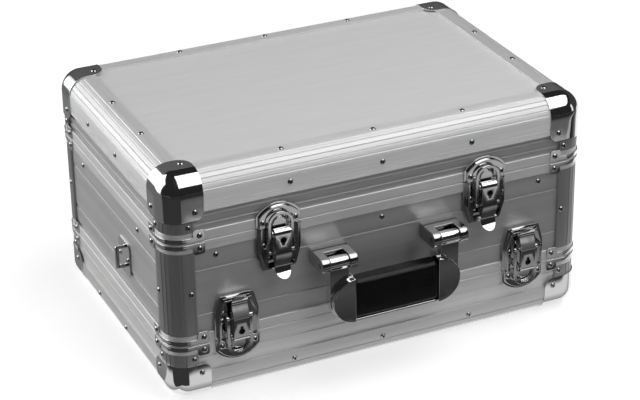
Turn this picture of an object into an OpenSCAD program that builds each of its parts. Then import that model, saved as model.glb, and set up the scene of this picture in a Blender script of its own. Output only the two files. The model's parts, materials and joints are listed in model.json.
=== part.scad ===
// Aluminium microphone case: base tray, hinged body with foam, hinged lid, draw latches and a drop handle.
// Millimetres. X runs along the front, Y from front to rear, Z up, with the case standing at z = 0.

/* [Case] */
// Width of the case across the front
case_w = 460; // [380:1:600]
// Depth of the case from front to rear
case_d = 312; // [260:1:420]
// Height of the base up to its parting line
base_h = 64; // [60:1:100]
// Height of the middle body between the two parting lines
body_h = 112; // [104:1:160]
// Height of the lid above its parting line
lid_h = 70; // [64:1:100]
// Gap left between two closing frames
parting_gap = 0.4; // [0.2:0.1:1]

/* [Panels and profiles] */
// Thickness of the laminated panels
panel_t = 6; // [4:0.5:8]
// Wall of the aluminium profiles
skin_t = 2; // [1.5:0.1:2.5]
// Outer radius of the edge profiles and corner posts
edge_r = 21; // [18:0.5:24]
// Leg of the edge profile on the top or the underside of the case
flat_leg = 30; // [26:0.5:34]
// Leg of the lid profile on the sides of the case
lid_side_leg = 38; // [32:0.5:42]
// Share of the base's height that the side leg of its profile covers
base_leg_share = 0.469; // [0.42:0.001:0.5]
// Leg of the corner posts
post_leg = 29; // [26:0.5:34]
// Number of ribs round a profile's radius
rib_count = 6; // [4:1:9]
// Depth of the grooves between the ribs
rib_depth = 0.6; // [0.3:0.1:1]
// Height of a closing frame
frame_h = 10.6; // [9:0.2:13]
// Height of the closing frames' tongues
tongue_h = 2.4; // [1.5:0.1:3]

/* [Corners] */
// Reach of a ball corner along the horizontal edges
ball_reach = 41; // [38:0.5:48]
// Reach of a lid ball corner down the vertical edge
lid_ball_drop = 46; // [40:0.5:50]
// Share of the base's height that a base ball corner covers
base_ball_share = 0.625; // [0.59:0.005:0.66]
// Thickness of the pressed corners and braces
press_t = 1.2; // [1:0.1:1.6]
// Reach of a corner brace from the corner
brace_reach = 40.5; // [38:0.5:46]

/* [Latches] */
// Distance of the upper latches from the middle
upper_latch_x = 113.5; // [100:0.5:140]
// Distance of the lower latches from the ends of the front
lower_latch_in = 70; // [65:0.5:100]
// Width of the latch plates and keepers
latch_w = 47; // [44:0.5:52]
// Width of the lever
lever_w = 16.5; // [15.5:0.5:17]
// Length of the lever from the parting line to the end of its tab
lever_len = 52; // [50:0.5:56]

/* [Handle] */
// Distance of each handle bracket from the middle
bracket_x = 61; // [56:0.5:70]
// Width of a handle bracket
bracket_w = 38.5; // [34:0.5:42]
// Distance of the handle's axis in front of the case
handle_out = 23.5; // [22:0.5:27]
// Height of the handle's axis above the lower parting line
handle_rise = 69; // [66:0.5:74]
// Drop from the handle's axis to the underside of the grip
handle_drop = 67; // [62:0.5:70]
// Half length of the black grip
grip_half = 46; // [42:0.5:52]

/* [Inside] */
// Columns of microphone holes
hole_cols = 4; // [3:1:4]
// Rows of microphone holes
hole_rows = 3; // [2:1:3]
// Diameter of a microphone hole
hole_d = 37; // [34:0.5:40]
// Diameter of the recess for a microphone's head
head_d = 54; // [50:0.5:58]
// Thickness of the lid's foam
lid_foam_t = 20; // [12:1:26]

/* [Hidden] */
$fn = 48;

// Finishes
aluminium = [0.80, 0.80, 0.82];
panel_grey = [0.62, 0.63, 0.65];
top_grey = [0.78, 0.78, 0.79];
chrome = [0.86, 0.87, 0.89];
steel = [0.70, 0.71, 0.73];
grip_black = [0.05, 0.05, 0.05];
foam_grey = [0.20, 0.20, 0.22];
board_brown = [0.55, 0.42, 0.28];

// Clearances and the overrun of a cut
fit = 0.1;
seat = 0.3;
turn = 0.05;
cut = 1;

// Heights of the planes that the pieces share; the ball corners' feet stand at zero
underside_z = press_t;
lower_z = base_h;
upper_z = base_h + body_h;
top_z = upper_z + lid_h - press_t;

// Sections: the channel that holds a panel, the panel's outer face, and the inside of the wall
channel_t = panel_t + 2 * fit;
panel_face = skin_t + fit;
wall_t = 2 * skin_t + channel_t;
pocket = edge_r;
inner_leg = pocket + 9;
web_t = 1.5;
profile_end = inner_leg + 2;

// Closing frames: the web under the tongue and the groove, and the tongue's place
frame_web = 5;
tongue_in = 4;
tongue_t = 2.4;
groove_clear = 0.6;
groove_d = tongue_h + groove_clear;
frame_low = parting_gap / 2;
frame_top = frame_low + frame_h;
ledge_t = 2;
ledge_w = 8;

// Grooves pressed along the panels: depth, width and distance from the parting line
panel_groove_d = 0.8;
panel_groove_w = 3;
body_groove_in = 31.5;
lid_rib_h = 9;
lid_rib_z = 27;
base_groove_in = 16;

// Grooves beside the raised line of the lid profile
line_groove_w = 1.2;
line_in = 4.5;
line_w = 2;

// Ball corners and braces
base_side_leg = base_leg_share * base_h;
base_ball_rise = base_ball_share * base_h;
lobe_r = 9;
top_lobe_r = 14;
brace_low = 1.2;
band_h = 4.6;
lug_w = 12.5;
lug_h = 12;
lug_r = 2.5;

// Rivets: head, and the dent that the mandrel leaves
rivet_r = 3.1;
rivet_h = 1.4;
low_rivet_h = 0.8;
rivet_rim = 0.3;
mandrel_r = 0.9;
mandrel_d = 0.5;

// Where the rivets are, as shares of the half length of their side
long_rivet_shares = [-0.43, 0, 0.43];
short_rivet_shares = [-0.265, 0.265];
side_flange_rivet_shares = [-0.15, 0.37];
panel_rivet_shares = [-0.774, 0, 0.774];
side_panel_rivet_shares = [-0.46, 0.585];
flange_rivet_in = 22;
lid_flange_rivet_in = 26;
base_flange_rivet_in = 20;
panel_rivet_in = 19;
corner_rivet_in = 31.5;
corner_rivet_drop = 9.5;
lug_rivet_in = 35;
lug_rivet_up = 7;
post_rivet_in = 24.5;
short_post_rivet_up = 16.5;

// Hinges: distance from the ends, axis outside the rear face, knuckles, leaf and pin
hinge_in = 100;
hinge_x = case_w / 2 - hinge_in;
hinge_w = 50;
hinge_off = 4.4;
knuckle_r = 4;
knuckle_gap = 0.4;
hinge_pin_r = 2;
leaf_t = 1.5;
leaf_reach = 26;
leaf_edge = 0.4;
joggle_h = 1.8;
leaf_rivet_x = 17;
leaf_rivet_up = 19;

// Latch sections, measured outward from the front plane and away from the parting line
lower_latch_x = case_w / 2 - lower_latch_in;
plate_t = 1.2;
plate_edge = 0.6;
plate_straight = 27;
plate_len = 47;
plate_tail_w = 34;
plate_step = 3;
plate_wall_t = 1.6;
plate_wall_out = 6.4;
keeper_len = 25;
keeper_side = 13;
keeper_step = 3;
keeper_band = 6.2;
keeper_out = 4;
nose_r = 8;
nose_side = 3.5;
nose_out = 5.5;
nose_bevel = 0.9;
pivot_out = 8;
pivot_z = -5;
lever_end_r = 5.5;
lever_wall = 1.5;
pivot_pin_r = 1.5;
ear_t = 1.5;
ear_gap = 0.3;
ear_r = 3;
bail_z = -25;
bail_out = 7.4;
bail_t = 2.6;
bail_strap = 3;
bail_half = 13.5;
bail_arch_z = 4;
bail_eye_r = 2;
bail_pin_r = 1.2;
bail_pin_in = 6.9;
ridge_z = -25;
ridge_rise = 0.9;
ridge_w = 1.6;
facet_z = -39;
facet_out = 9.4;
tab_rise = 2.2;
flange_out = 4.8;
flange_end_z = -31;
lock_z = -11;
lock_r = 3.4;
lock_boss_t = 1.6;
lock_front = 11.2;
lock_back = 3.6;
keyhole_r = 3.2;
key_slot_w = 2.2;
key_slot_len = 5.6;
key_d = 5;
key_w = 1.2;
cam_t = 1.2;
cam_w = 3;
cam_len = 6;
latch_rivet_x = 15.4;
latch_rivet_z = -20;
keeper_rivet_x = 17.4;
keeper_rivet_z = 6.5;

// Handle
handle_z = lower_z + handle_rise;
ear_half_h = 8;
roll_r = 7;
strap_w = 20;
strap_t = 8;
strap_gap = 0.4;
handle_pin_r = 2.6;
bracket_web = 13;
cap_r = 24;
rim_t = 1.2;
cap_half_t = 10.5;
grip_half_t = 10.5;
grip_h = 44;
grip_gap = 0.3;
grip_edge_r = 7;
strip_half_t = 7;
strip_t = 2.2;

// Strap loops on the sides
loop_y = -30;
loop_up = 44;
loop_z = lower_z + loop_up;
loop_plate_w = 32;
loop_plate_h = 38;
loop_plate_r = 6;
loop_plate_t = 1.6;
loop_bar_r = 2.2;
loop_bar_out = 9;
loop_half = 11;
loop_rivet_y = 11;

// Foam, lining and floor board
foam_side = 0.4;
lining_t = 3;
lining_low = 4;
board_t = 6;
foam_z = lower_z + frame_low + ledge_t + board_t + 2 * seat;
foam_drop = 24;
foam_top = upper_z - foam_drop;
hole_floor = 4;
collar_d = 12;
lid_foam_in = inner_leg + foam_side;
hole_edge_x = 16.6;
hole_edge_y = 10.6;
hole_pitch_x = (case_w - 2 * lid_foam_in - head_d - 2 * hole_edge_x) / (hole_cols - 1);
hole_pitch_y = (case_d - 2 * lid_foam_in - head_d - 2 * hole_edge_y) / (hole_rows - 1);

// Origin of the frame: the middle of the whole case with its hardware, under the corners
front_reach = case_d / 2 + handle_out + cap_half_t;
rear_reach = case_d / 2 + hinge_off + knuckle_r;
frame_y = (front_reach - rear_reach) / 2;

// Length of a side and half the depth behind it; 0 front, 1 right, 2 rear, 3 left
function side_len(k) = k % 2 == 0 ? case_w : case_d;
function side_half(k) = k % 2 == 0 ? case_d / 2 : case_w / 2;

// Place along a side that lies the same way on opposite sides, from a share of its half length
function along_side(k, s) = (k < 2 ? s : -s) * side_len(k) / 2;
function arc(cx, cy, r, a0, a1, n) =
    [for (i = [0 : n]) let (a = a0 + (a1 - a0) * i / n) [cx + r * cos(a), cy + r * sin(a)]];

// Points round a quarter of a profile with grooves between its ribs
function ribbed_quarter(r, depth, n) =
    [for (i = [0 : n - 1])
        let (step = 90 / n, a = 180 + i * step)
        each concat(
            i == 0 ? [] : [[r + (r - depth) * cos(a), r + (r - depth) * sin(a)]],
            [for (s = [0.14, 0.5, 0.86]) [r + r * cos(a + s * step), r + r * sin(a + s * step)]])];

module in_frame() {
    translate([0, frame_y, 0])
        children();
}

// Local frame of side k: X along it, Y inward from its outer plane, Z up
module on_side(k) {
    rotate([0, 0, 90 * k])
        translate([0, -side_half(k), 0])
            children();
}

// Local frame of each vertical corner: X and Y inward from the two outer planes
module at_corners() {
    for (sx = [0, 1], sy = [0, 1])
        mirror([sx, 0, 0])
            mirror([0, sy, 0])
                translate([-case_w / 2, -case_d / 2, 0])
                    children();
}

// A plane section (inward, up) drawn along X over a length
module along_x(length) {
    translate([-length / 2, 0, 0])
        rotate([90, 0, 90])
            linear_extrude(height = length)
                children();
}

// A section (outward, up) drawn along X, for pieces on the front
module across(width, x = 0) {
    translate([x, 0, 0])
        mirror([0, 1, 0])
            along_x(width)
                children();
}

// A front view (x, up) raised from one distance in front of the plane to another
module raised(from, to) {
    translate([0, -from, 0])
        rotate([90, 0, 0])
            linear_extrude(height = to - from)
                children();
}

module rounded_plan(w, d, r) {
    square([w - 2 * r, d], center = true);
    square([w, d - 2 * r], center = true);
    for (sx = [-1, 1], sy = [-1, 1])
        translate([sx * (w / 2 - r), sy * (d / 2 - r)])
            circle(r = r);
}

// A ring between two insets from the case's outline
module ring(outer_in, inner_in) {
    difference() {
        rounded_plan(case_w - 2 * outer_in, case_d - 2 * outer_in, edge_r - outer_in);
        rounded_plan(case_w - 2 * inner_in, case_d - 2 * inner_in, edge_r - inner_in);
    }
}

// Section of an edge profile or post: a ribbed radius with two legs, a chamber and two panel channels
module angle_section(leg_a, leg_b, line = false) {
    line_pts = line ? [
        [0, leg_b - line_in + line_groove_w],
        [rib_depth, leg_b - line_in + line_groove_w],
        [rib_depth, leg_b - line_in],
        [0, leg_b - line_in],
        [0, leg_b - line_in - line_w],
        [rib_depth, leg_b - line_in - line_w],
        [rib_depth, leg_b - line_in - line_w - line_groove_w],
        [0, leg_b - line_in - line_w - line_groove_w]
    ] : [];
    difference() {
        polygon(concat(
            [[0, leg_b]],
            line_pts,
            [[0, edge_r]],
            ribbed_quarter(edge_r, rib_depth, rib_count),
            [
                [edge_r, 0],
                [leg_a, 0],
                [leg_a, skin_t],
                [pocket, skin_t],
                [pocket, skin_t + channel_t],
                [inner_leg, skin_t + channel_t],
                [inner_leg, wall_t],
                [wall_t, wall_t],
                [wall_t, inner_leg],
                [skin_t + channel_t, inner_leg],
                [skin_t + channel_t, pocket],
                [skin_t, pocket],
                [skin_t, leg_b]
            ]));
        intersection() {
            translate([edge_r, edge_r])
                circle(r = edge_r - skin_t);
            difference() {
                square(pocket - web_t);
                translate([skin_t + channel_t, skin_t + channel_t])
                    square(edge_r);
            }
        }
    }
}

// Edge profiles along the four sides of a tray whose outer face lies at z = 0, pointing up
module edge_profiles(side_leg, line) {
    for (k = [0 : 3])
        on_side(k)
            along_x(side_len(k) - 2 * profile_end)
                angle_section(flat_leg, side_leg, line);
}

module corner_posts(z0, z1) {
    at_corners()
        translate([0, 0, z0])
            linear_extrude(height = z1 - z0)
                angle_section(post_leg, post_leg);
}

// Closing frame on the upper side of a parting plane at z = 0
module closing_frame(tongue) {
    difference() {
        union() {
            translate([0, 0, frame_low])
                linear_extrude(height = frame_web)
                    ring(0, wall_t);
            translate([0, 0, frame_low])
                linear_extrude(height = frame_h)
                    ring(0, skin_t);
            translate([0, 0, frame_low])
                linear_extrude(height = frame_h)
                    ring(skin_t + channel_t, wall_t);
            if (tongue)
                translate([0, 0, frame_low - tongue_h - parting_gap / 2])
                    linear_extrude(height = tongue_h + parting_gap)
                        ring(tongue_in, tongue_in + tongue_t);
        }
        if (!tongue)
            translate([0, 0, frame_low - cut])
                linear_extrude(height = groove_d + cut)
                    ring(tongue_in - groove_clear, tongue_in + tongue_t + groove_clear);
    }
}

// Four wall panels between two heights, with the grooves given as [height, width] pairs
module side_panels(z0, z1, grooves) {
    for (k = [0 : 3])
        on_side(k)
            difference() {
                translate([-side_len(k) / 2 + pocket + fit, panel_face, z0])
                    cube([side_len(k) - 2 * pocket - 2 * fit, panel_t, z1 - z0]);
                for (g = grooves)
                    translate([-side_len(k) / 2, panel_face - cut, g[0] - g[1] / 2])
                        cube([side_len(k), panel_groove_d + cut, g[1]]);
            }
}

// A rounded lobe of a ball corner on one face, spanning to the two reaches
module lobe(reach_a, reach_b, r) {
    translate([edge_r, edge_r])
        square([reach_a - edge_r, reach_b - edge_r - r]);
    translate([edge_r, edge_r])
        square([reach_a - edge_r - r, reach_b - edge_r]);
    translate([reach_a - r, reach_b - r])
        circle(r = r);
}

// A quarter shell round an edge, as thick as the pressing
module quarter_shell() {
    difference() {
        intersection() {
            translate([edge_r, edge_r])
                circle(r = edge_r + press_t);
            translate([-press_t, -press_t])
                square(edge_r + press_t);
        }
        translate([edge_r, edge_r])
            circle(r = edge_r);
    }
}

// Ball corner with its faces at the outer planes, the third direction pointing up
module ball_corner(rise) {
    difference() {
        intersection() {
            translate([edge_r, edge_r, edge_r])
                sphere(r = edge_r + press_t);
            translate([-press_t, -press_t, -press_t])
                cube(edge_r + press_t);
        }
        translate([edge_r, edge_r, edge_r])
            sphere(r = edge_r);
    }
    translate([0, 0, edge_r])
        linear_extrude(height = rise - edge_r)
            quarter_shell();
    translate([edge_r, 0, 0])
        rotate([90, 0, 90])
            linear_extrude(height = ball_reach - edge_r)
                quarter_shell();
    mirror([1, -1, 0])
        translate([edge_r, 0, 0])
            rotate([90, 0, 90])
                linear_extrude(height = ball_reach - edge_r)
                    quarter_shell();
    translate([0, 0, -press_t])
        linear_extrude(height = press_t)
            lobe(ball_reach, ball_reach, top_lobe_r);
    raised(0, press_t)
        lobe(ball_reach, rise, lobe_r);
    mirror([1, -1, 0])
        raised(0, press_t)
            lobe(ball_reach, rise, lobe_r);
}

// Brace round a corner beside a parting plane at z = 0: a band with a lug at each end
module corner_brace() {
    translate([0, 0, brace_low])
        linear_extrude(height = band_h)
            union() {
                quarter_shell();
                translate([edge_r, -press_t])
                    square([brace_reach - edge_r, press_t]);
                translate([-press_t, edge_r])
                    square([press_t, brace_reach - edge_r]);
            }
    for (m = [0, 1])
        mirror([m, -m, 0])
            raised(0, press_t) {
                translate([brace_reach - lug_w, brace_low])
                    square([lug_w, lug_h - lug_r]);
                translate([brace_reach - lug_w + lug_r, brace_low])
                    square([lug_w - 2 * lug_r, lug_h]);
                for (x = [lug_r, lug_w - lug_r])
                    translate([brace_reach - lug_w + x, brace_low + lug_h - lug_r])
                        circle(r = lug_r);
            }
}

// Domed rivet head with a rim, standing on z = 0
module rivet(h = rivet_h) {
    dome_h = h - rivet_rim;
    dome_r = (rivet_r * rivet_r + dome_h * dome_h) / (2 * dome_h);
    difference() {
        intersection() {
            translate([0, 0, h - dome_r])
                sphere(r = dome_r);
            cylinder(r = rivet_r, h = h);
        }
        translate([0, 0, h - mandrel_d])
            cylinder(r = mandrel_r, h = cut);
    }
}

// A rivet on an outward face, at x along the side, its plane in from the outer plane, and a height
module side_rivet(x, plane, z) {
    translate([x, plane, z])
        rotate([90, 0, 0])
            rivet();
}

// The two rivets of each lug of the braces beside a parting plane at z = 0
module brace_rivets() {
    at_corners()
        for (m = [0, 1])
            mirror([m, -m, 0])
                side_rivet(lug_rivet_in, -press_t, lug_rivet_up);
}

module post_rivets(z) {
    at_corners()
        for (m = [0, 1])
            mirror([m, -m, 0])
                side_rivet(post_rivet_in, 0, z);
}

// The side rivets of every ball corner whose outer face lies at z = 0
module ball_rivets(rise) {
    at_corners()
        for (m = [0, 1])
            mirror([m, -m, 0])
                side_rivet(corner_rivet_in, -press_t, rise - corner_rivet_drop);
}

// A rivet under a face at z = 0, in local plan
module flat_rivet(x, y, plane, h) {
    translate([x, y, plane])
        mirror([0, 0, 1])
            rivet(h);
}

// Rivets through both legs of the edge profiles whose outer face lies at z = 0
module profile_rivets(up, h) {
    for (k = [0 : 3])
        on_side(k) {
            for (s = k % 2 == 0 ? long_rivet_shares : side_flange_rivet_shares)
                side_rivet(along_side(k, s), 0, up);
            for (s = k % 2 == 0 ? long_rivet_shares : short_rivet_shares)
                flat_rivet(along_side(k, s), flange_rivet_in, 0, h);
        }
}

// Knuckle k of the three along a hinge
module knuckle(k) {
    pitch = hinge_w / 3;
    translate([(k - 1) * pitch, 0, 0])
        across(pitch - knuckle_gap)
            difference() {
                translate([hinge_off, 0])
                    circle(r = knuckle_r);
                translate([hinge_off, 0])
                    circle(r = hinge_pin_r + turn);
            }
}

// Hinge leaf above a parting plane at z = 0, carrying the knuckles that are listed
module hinge_leaf(knuckles) {
    pitch = hinge_w / 3;
    others = [for (k = [0 : 2]) if (len(search(k, knuckles)) == 0) k];
    difference() {
        union() {
            across(hinge_w - knuckle_gap)
                polygon([
                    [0, leaf_edge],
                    [leaf_t, leaf_edge],
                    [leaf_t, frame_top + leaf_edge],
                    [leaf_t - panel_face, frame_top + leaf_edge + joggle_h],
                    [leaf_t - panel_face, leaf_reach],
                    [-panel_face, leaf_reach],
                    [-panel_face, frame_top + joggle_h],
                    [0, frame_top]
                ]);
            for (k = knuckles)
                knuckle(k);
        }
        for (k = others)
            translate([
                (k - 1) * pitch - pitch / 2 - knuckle_gap / 2,
                -hinge_off - knuckle_r - cut,
                -knuckle_r - cut
            ])
                cube([pitch + knuckle_gap, hinge_off + knuckle_r + panel_t, 2 * (knuckle_r + cut)]);
        across(hinge_w + 2 * cut)
            translate([hinge_off, 0])
                circle(r = hinge_pin_r + turn);
    }
}

module hinge_pin() {
    across(hinge_w)
        translate([hinge_off, 0])
            circle(r = hinge_pin_r);
}

// Both hinges of a parting plane, on the rear side
module at_hinges(z) {
    on_side(2)
        for (sx = [-1, 1])
            translate([sx * hinge_x, 0, z])
                children();
}

module leaf_rivets() {
    for (x = [-leaf_rivet_x, leaf_rivet_x])
        side_rivet(x, panel_face - leaf_t, leaf_rivet_up);
}

// Places of the four latches; the lower pair is the upper one turned half round
module at_upper_latch(sx) {
    translate([sx * upper_latch_x, -case_d / 2, upper_z])
        children();
}

module at_lower_latch(sx) {
    translate([sx * lower_latch_x, -case_d / 2, lower_z])
        rotate([0, 180, 0])
            children();
}

// Outline of the latch plate, in from its edge by a distance
module plate_outline(inset) {
    tail = plate_tail_w / 2 - inset;
    half = latch_w / 2 - inset;
    polygon([
        [-half, -plate_edge],
        [half, -plate_edge],
        [half, -plate_straight],
        [tail + plate_wall_t, -plate_len + inset + plate_wall_t],
        [tail, -plate_len + inset],
        [-tail, -plate_len + inset],
        [-tail - plate_wall_t, -plate_len + inset + plate_wall_t],
        [-half, -plate_straight]
    ]);
}

// Latch plate below the parting plane: a pressed dish with two ears for the lever
module latch_plate() {
    ear_in = lever_w / 2 + ear_gap;
    raised(0, plate_t)
        plate_outline(0);
    raised(plate_t, plate_wall_out)
        difference() {
            plate_outline(plate_step);
            plate_outline(plate_step + plate_wall_t);
        }
    raised(-panel_face, 0)
        intersection() {
            plate_outline(plate_step);
            translate([-latch_w, -2 * plate_len])
                square([2 * latch_w, 2 * plate_len - frame_top - fit]);
        }
    for (sx = [-1, 1])
        across(ear_t, sx * (ear_in + ear_t / 2))
            difference() {
                union() {
                    translate([pivot_out, pivot_z])
                        circle(r = ear_r);
                    translate([plate_t, pivot_z - ear_r])
                        square([pivot_out - plate_t, 2 * ear_r]);
                }
                translate([pivot_out, pivot_z])
                    circle(r = pivot_pin_r);
            }
}

module latch_pin() {
    across(lever_w + 2 * ear_gap + 2 * ear_t)
        translate([pivot_out, pivot_z])
            circle(r = pivot_pin_r);
}

// Arched outline of the keeper, in from its edge by a distance
module keeper_outline(inset) {
    half = latch_w / 2;
    arch = keeper_len - keeper_side;
    arch_r = (half * half + arch * arch) / (2 * arch);
    intersection() {
        translate([-half + inset, plate_edge])
            square([latch_w - 2 * inset, keeper_len]);
        translate([0, keeper_len - arch_r])
            circle(r = arch_r - inset, $fn = 96);
    }
}

// Keeper above the parting plane: a stepped arch round the nose that the bail draws on
module keeper() {
    raised(0, plate_t)
        keeper_outline(0);
    raised(plate_t, keeper_out)
        difference() {
            keeper_outline(keeper_step);
            keeper_outline(keeper_step + keeper_band);
        }
    raised(-panel_face, 0)
        intersection() {
            keeper_outline(keeper_step);
            translate([-latch_w, frame_top + fit])
                square([2 * latch_w, keeper_len]);
        }
    raised(plate_t, nose_out - nose_bevel)
        nose_outline(0);
    raised(nose_out - nose_bevel, nose_out)
        nose_outline(nose_bevel);
}

module nose_outline(inset) {
    translate([-nose_r + inset, plate_edge])
        square([2 * (nose_r - inset), nose_side - plate_edge]);
    translate([0, nose_side])
        intersection() {
            circle(r = nose_r - inset);
            translate([-nose_r, 0])
                square(2 * nose_r);
        }
}

// Lever of a latch, closed against its plate, with a keyhole and a finger tab
module lever() {
    face_out = pivot_out + lever_end_r;
    difference() {
        union() {
            intersection() {
                across(lever_w)
                    union() {
                        polygon([
                            [face_out, pivot_z],
                            [face_out, ridge_z + ridge_w],
                            [face_out + ridge_rise, ridge_z],
                            [face_out + ridge_rise, ridge_z - ridge_w],
                            [facet_out, facet_z],
                            [facet_out + tab_rise, -lever_len],
                            [facet_out + tab_rise - lever_wall, -lever_len],
                            [facet_out - lever_wall, facet_z],
                            [face_out - lever_wall, ridge_z - ridge_w],
                            [face_out - lever_wall, pivot_z]
                        ]);
                        difference() {
                            translate([pivot_out, pivot_z])
                                circle(r = lever_end_r);
                            translate([pivot_out, pivot_z])
                                circle(r = lever_end_r - lever_wall);
                            translate([pivot_out - 2 * lever_end_r, pivot_z - 2 * lever_end_r])
                                square([2 * lever_end_r, 4 * lever_end_r]);
                            translate([0, pivot_z - 2 * lever_end_r])
                                square([2 * face_out, 2 * lever_end_r]);
                        }
                    }
                raised(0, 2 * face_out)
                    union() {
                        translate([-lever_w / 2, -lever_len + lever_w / 2])
                            square([lever_w, lever_len]);
                        translate([0, -lever_len + lever_w / 2])
                            circle(r = lever_w / 2);
                    }
            }
            for (sx = [-1, 1])
                across(lever_wall, sx * (lever_w - lever_wall) / 2)
                    union() {
                        translate([pivot_out, pivot_z])
                            circle(r = lever_end_r);
                        polygon([
                            [pivot_out, pivot_z],
                            [face_out - lever_wall / 2, pivot_z],
                            [face_out - lever_wall / 2, ridge_z - ridge_w],
                            [facet_out - lever_wall / 2, facet_z],
                            [flange_out, flange_end_z],
                            [flange_out, pivot_z - ear_r]
                        ]);
                    }
            translate([0, 0, lock_z])
                raised(flange_out, face_out - lever_wall / 2)
                    circle(r = lock_r + fit + lock_boss_t);
        }
        across(2 * lever_w)
            translate([pivot_out, pivot_z])
                circle(r = pivot_pin_r + turn);
        across(2 * lever_w)
            translate([bail_out, bail_z])
                circle(r = bail_pin_r + turn);
        translate([0, 0, lock_z])
            raised(0, lock_front + fit)
                circle(r = lock_r + fit / 2);
        translate([0, 0, lock_z])
            raised(0, 2 * face_out) {
                circle(r = keyhole_r);
                translate([-key_slot_w / 2, -key_slot_len])
                    square([key_slot_w, key_slot_len]);
            }
    }
}

// Bail: a wire-like loop whose feet turn in the lever and whose arch goes round the keeper's nose
module bail() {
    raised(bail_out - bail_t / 2, bail_out + bail_t / 2) {
        translate([0, bail_arch_z])
            difference() {
                circle(r = bail_half);
                circle(r = bail_half - bail_strap);
                translate([-bail_half - cut, -bail_half - cut])
                    square([2 * (bail_half + cut), bail_half + cut]);
            }
        for (sx = [0, 1])
            mirror([sx, 0])
                translate([bail_half - bail_strap, bail_z])
                    square([bail_strap, bail_arch_z - bail_z]);
    }
    for (sx = [-1, 1]) {
        across(bail_strap, sx * (bail_half - bail_strap / 2))
            translate([bail_out, bail_z])
                circle(r = bail_eye_r);
        across(bail_half - bail_pin_in, sx * (bail_half + bail_pin_in) / 2)
            translate([bail_out, bail_z])
                circle(r = bail_pin_r);
    }
}

// Lock barrel: a turning plug with a key slot in front and a cam behind
module lock_barrel() {
    translate([0, 0, lock_z])
        difference() {
            union() {
                raised(lock_back, lock_front)
                    circle(r = lock_r);
                raised(lock_back - cam_t, lock_back)
                    translate([-cam_w / 2, -cam_len])
                        square([cam_w, cam_len + lock_r]);
            }
            raised(lock_front - key_d, lock_front + cut)
                square([key_w, 2 * lock_r - 2 * key_w], center = true);
        }
}

// Base

module base_bottom_panel() {
    in_frame()
        color(panel_grey)
            translate([
                -case_w / 2 + pocket + fit, -case_d / 2 + pocket + fit, underside_z + panel_face
            ])
                cube([case_w - 2 * pocket - 2 * fit, case_d - 2 * pocket - 2 * fit, panel_t]);
}

module base_side_panels() {
    in_frame()
        color(panel_grey)
            side_panels(
                underside_z + pocket + fit,
                lower_z - frame_low - frame_web - fit,
                [[lower_z - base_groove_in, panel_groove_w]]);
}

module base_edge_profiles() {
    in_frame()
        color(aluminium)
            translate([0, 0, underside_z])
                edge_profiles(base_side_leg, false);
}

module base_corner_posts() {
    in_frame()
        color(aluminium)
            corner_posts(underside_z + base_side_leg + seat, lower_z - frame_top);
}

module base_closing_frame() {
    in_frame()
        color(aluminium)
            translate([0, 0, lower_z])
                mirror([0, 0, 1])
                    closing_frame(true);
}

module base_ball_corners() {
    in_frame()
        color(chrome)
            translate([0, 0, underside_z])
                at_corners()
                    ball_corner(base_ball_rise);
}

module base_corner_braces() {
    in_frame()
        color(chrome)
            translate([0, 0, lower_z])
                mirror([0, 0, 1])
                    at_corners()
                        corner_brace();
}

module base_lining() {
    out_in = wall_t + foam_side;
    in_in = out_in + lining_t;
    floor_z = underside_z + wall_t + seat;
    in_frame()
        color(foam_grey)
            difference() {
                translate([0, 0, floor_z])
                    linear_extrude(height = lower_z - lining_low - floor_z)
                        rounded_plan(case_w - 2 * out_in, case_d - 2 * out_in, edge_r - out_in);
                translate([0, 0, floor_z + lining_t])
                    linear_extrude(height = lower_z)
                        rounded_plan(case_w - 2 * in_in, case_d - 2 * in_in, edge_r - in_in);
            }
}

module base_rivets() {
    in_frame()
        color(steel) {
            translate([0, 0, underside_z]) {
                ball_rivets(base_ball_rise);
                profile_rivets(base_flange_rivet_in, low_rivet_h);
            }
            post_rivets(lower_z - short_post_rivet_up);
            translate([0, 0, lower_z])
                mirror([0, 0, 1])
                    brace_rivets();
            at_hinges(lower_z)
                mirror([0, 0, 1])
                    leaf_rivets();
            for (sx = [-1, 1])
                at_lower_latch(sx)
                    keeper_rivets();
        }
}

module keeper_rivets() {
    for (x = [-keeper_rivet_x, keeper_rivet_x])
        side_rivet(x, -keeper_out, keeper_rivet_z);
}

module lower_keepers() {
    in_frame()
        color(chrome)
            for (sx = [-1, 1])
                at_lower_latch(sx)
                    keeper();
}

module lower_hinge_base_leaves() {
    in_frame()
        color(steel)
            at_hinges(lower_z)
                mirror([0, 0, 1])
                    hinge_leaf([0, 2]);
}

module lower_hinge_pins() {
    in_frame()
        color(steel)
            at_hinges(lower_z)
                hinge_pin();
}

// Body

module body_lower_closing_frame() {
    in_frame()
        color(aluminium)
            translate([0, 0, lower_z]) {
                closing_frame(false);
                translate([0, 0, frame_low])
                    linear_extrude(height = ledge_t)
                        ring(wall_t, wall_t + ledge_w);
            }
}

module body_upper_closing_frame() {
    in_frame()
        color(aluminium)
            translate([0, 0, upper_z])
                mirror([0, 0, 1])
                    closing_frame(true);
}

module body_side_panels() {
    in_frame()
        color(panel_grey)
            side_panels(
                lower_z + frame_low + frame_web + fit,
                upper_z - frame_low - frame_web - fit,
                [
                    [lower_z + body_groove_in, panel_groove_w],
                    [upper_z - body_groove_in, panel_groove_w]
                ]);
}

module body_corner_posts() {
    in_frame()
        color(aluminium)
            corner_posts(lower_z + frame_top, upper_z - frame_top);
}

module body_lower_braces() {
    in_frame()
        color(chrome)
            translate([0, 0, lower_z])
                at_corners()
                    corner_brace();
}

module body_upper_braces() {
    in_frame()
        color(chrome)
            translate([0, 0, upper_z])
                mirror([0, 0, 1])
                    at_corners()
                        corner_brace();
}

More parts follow.
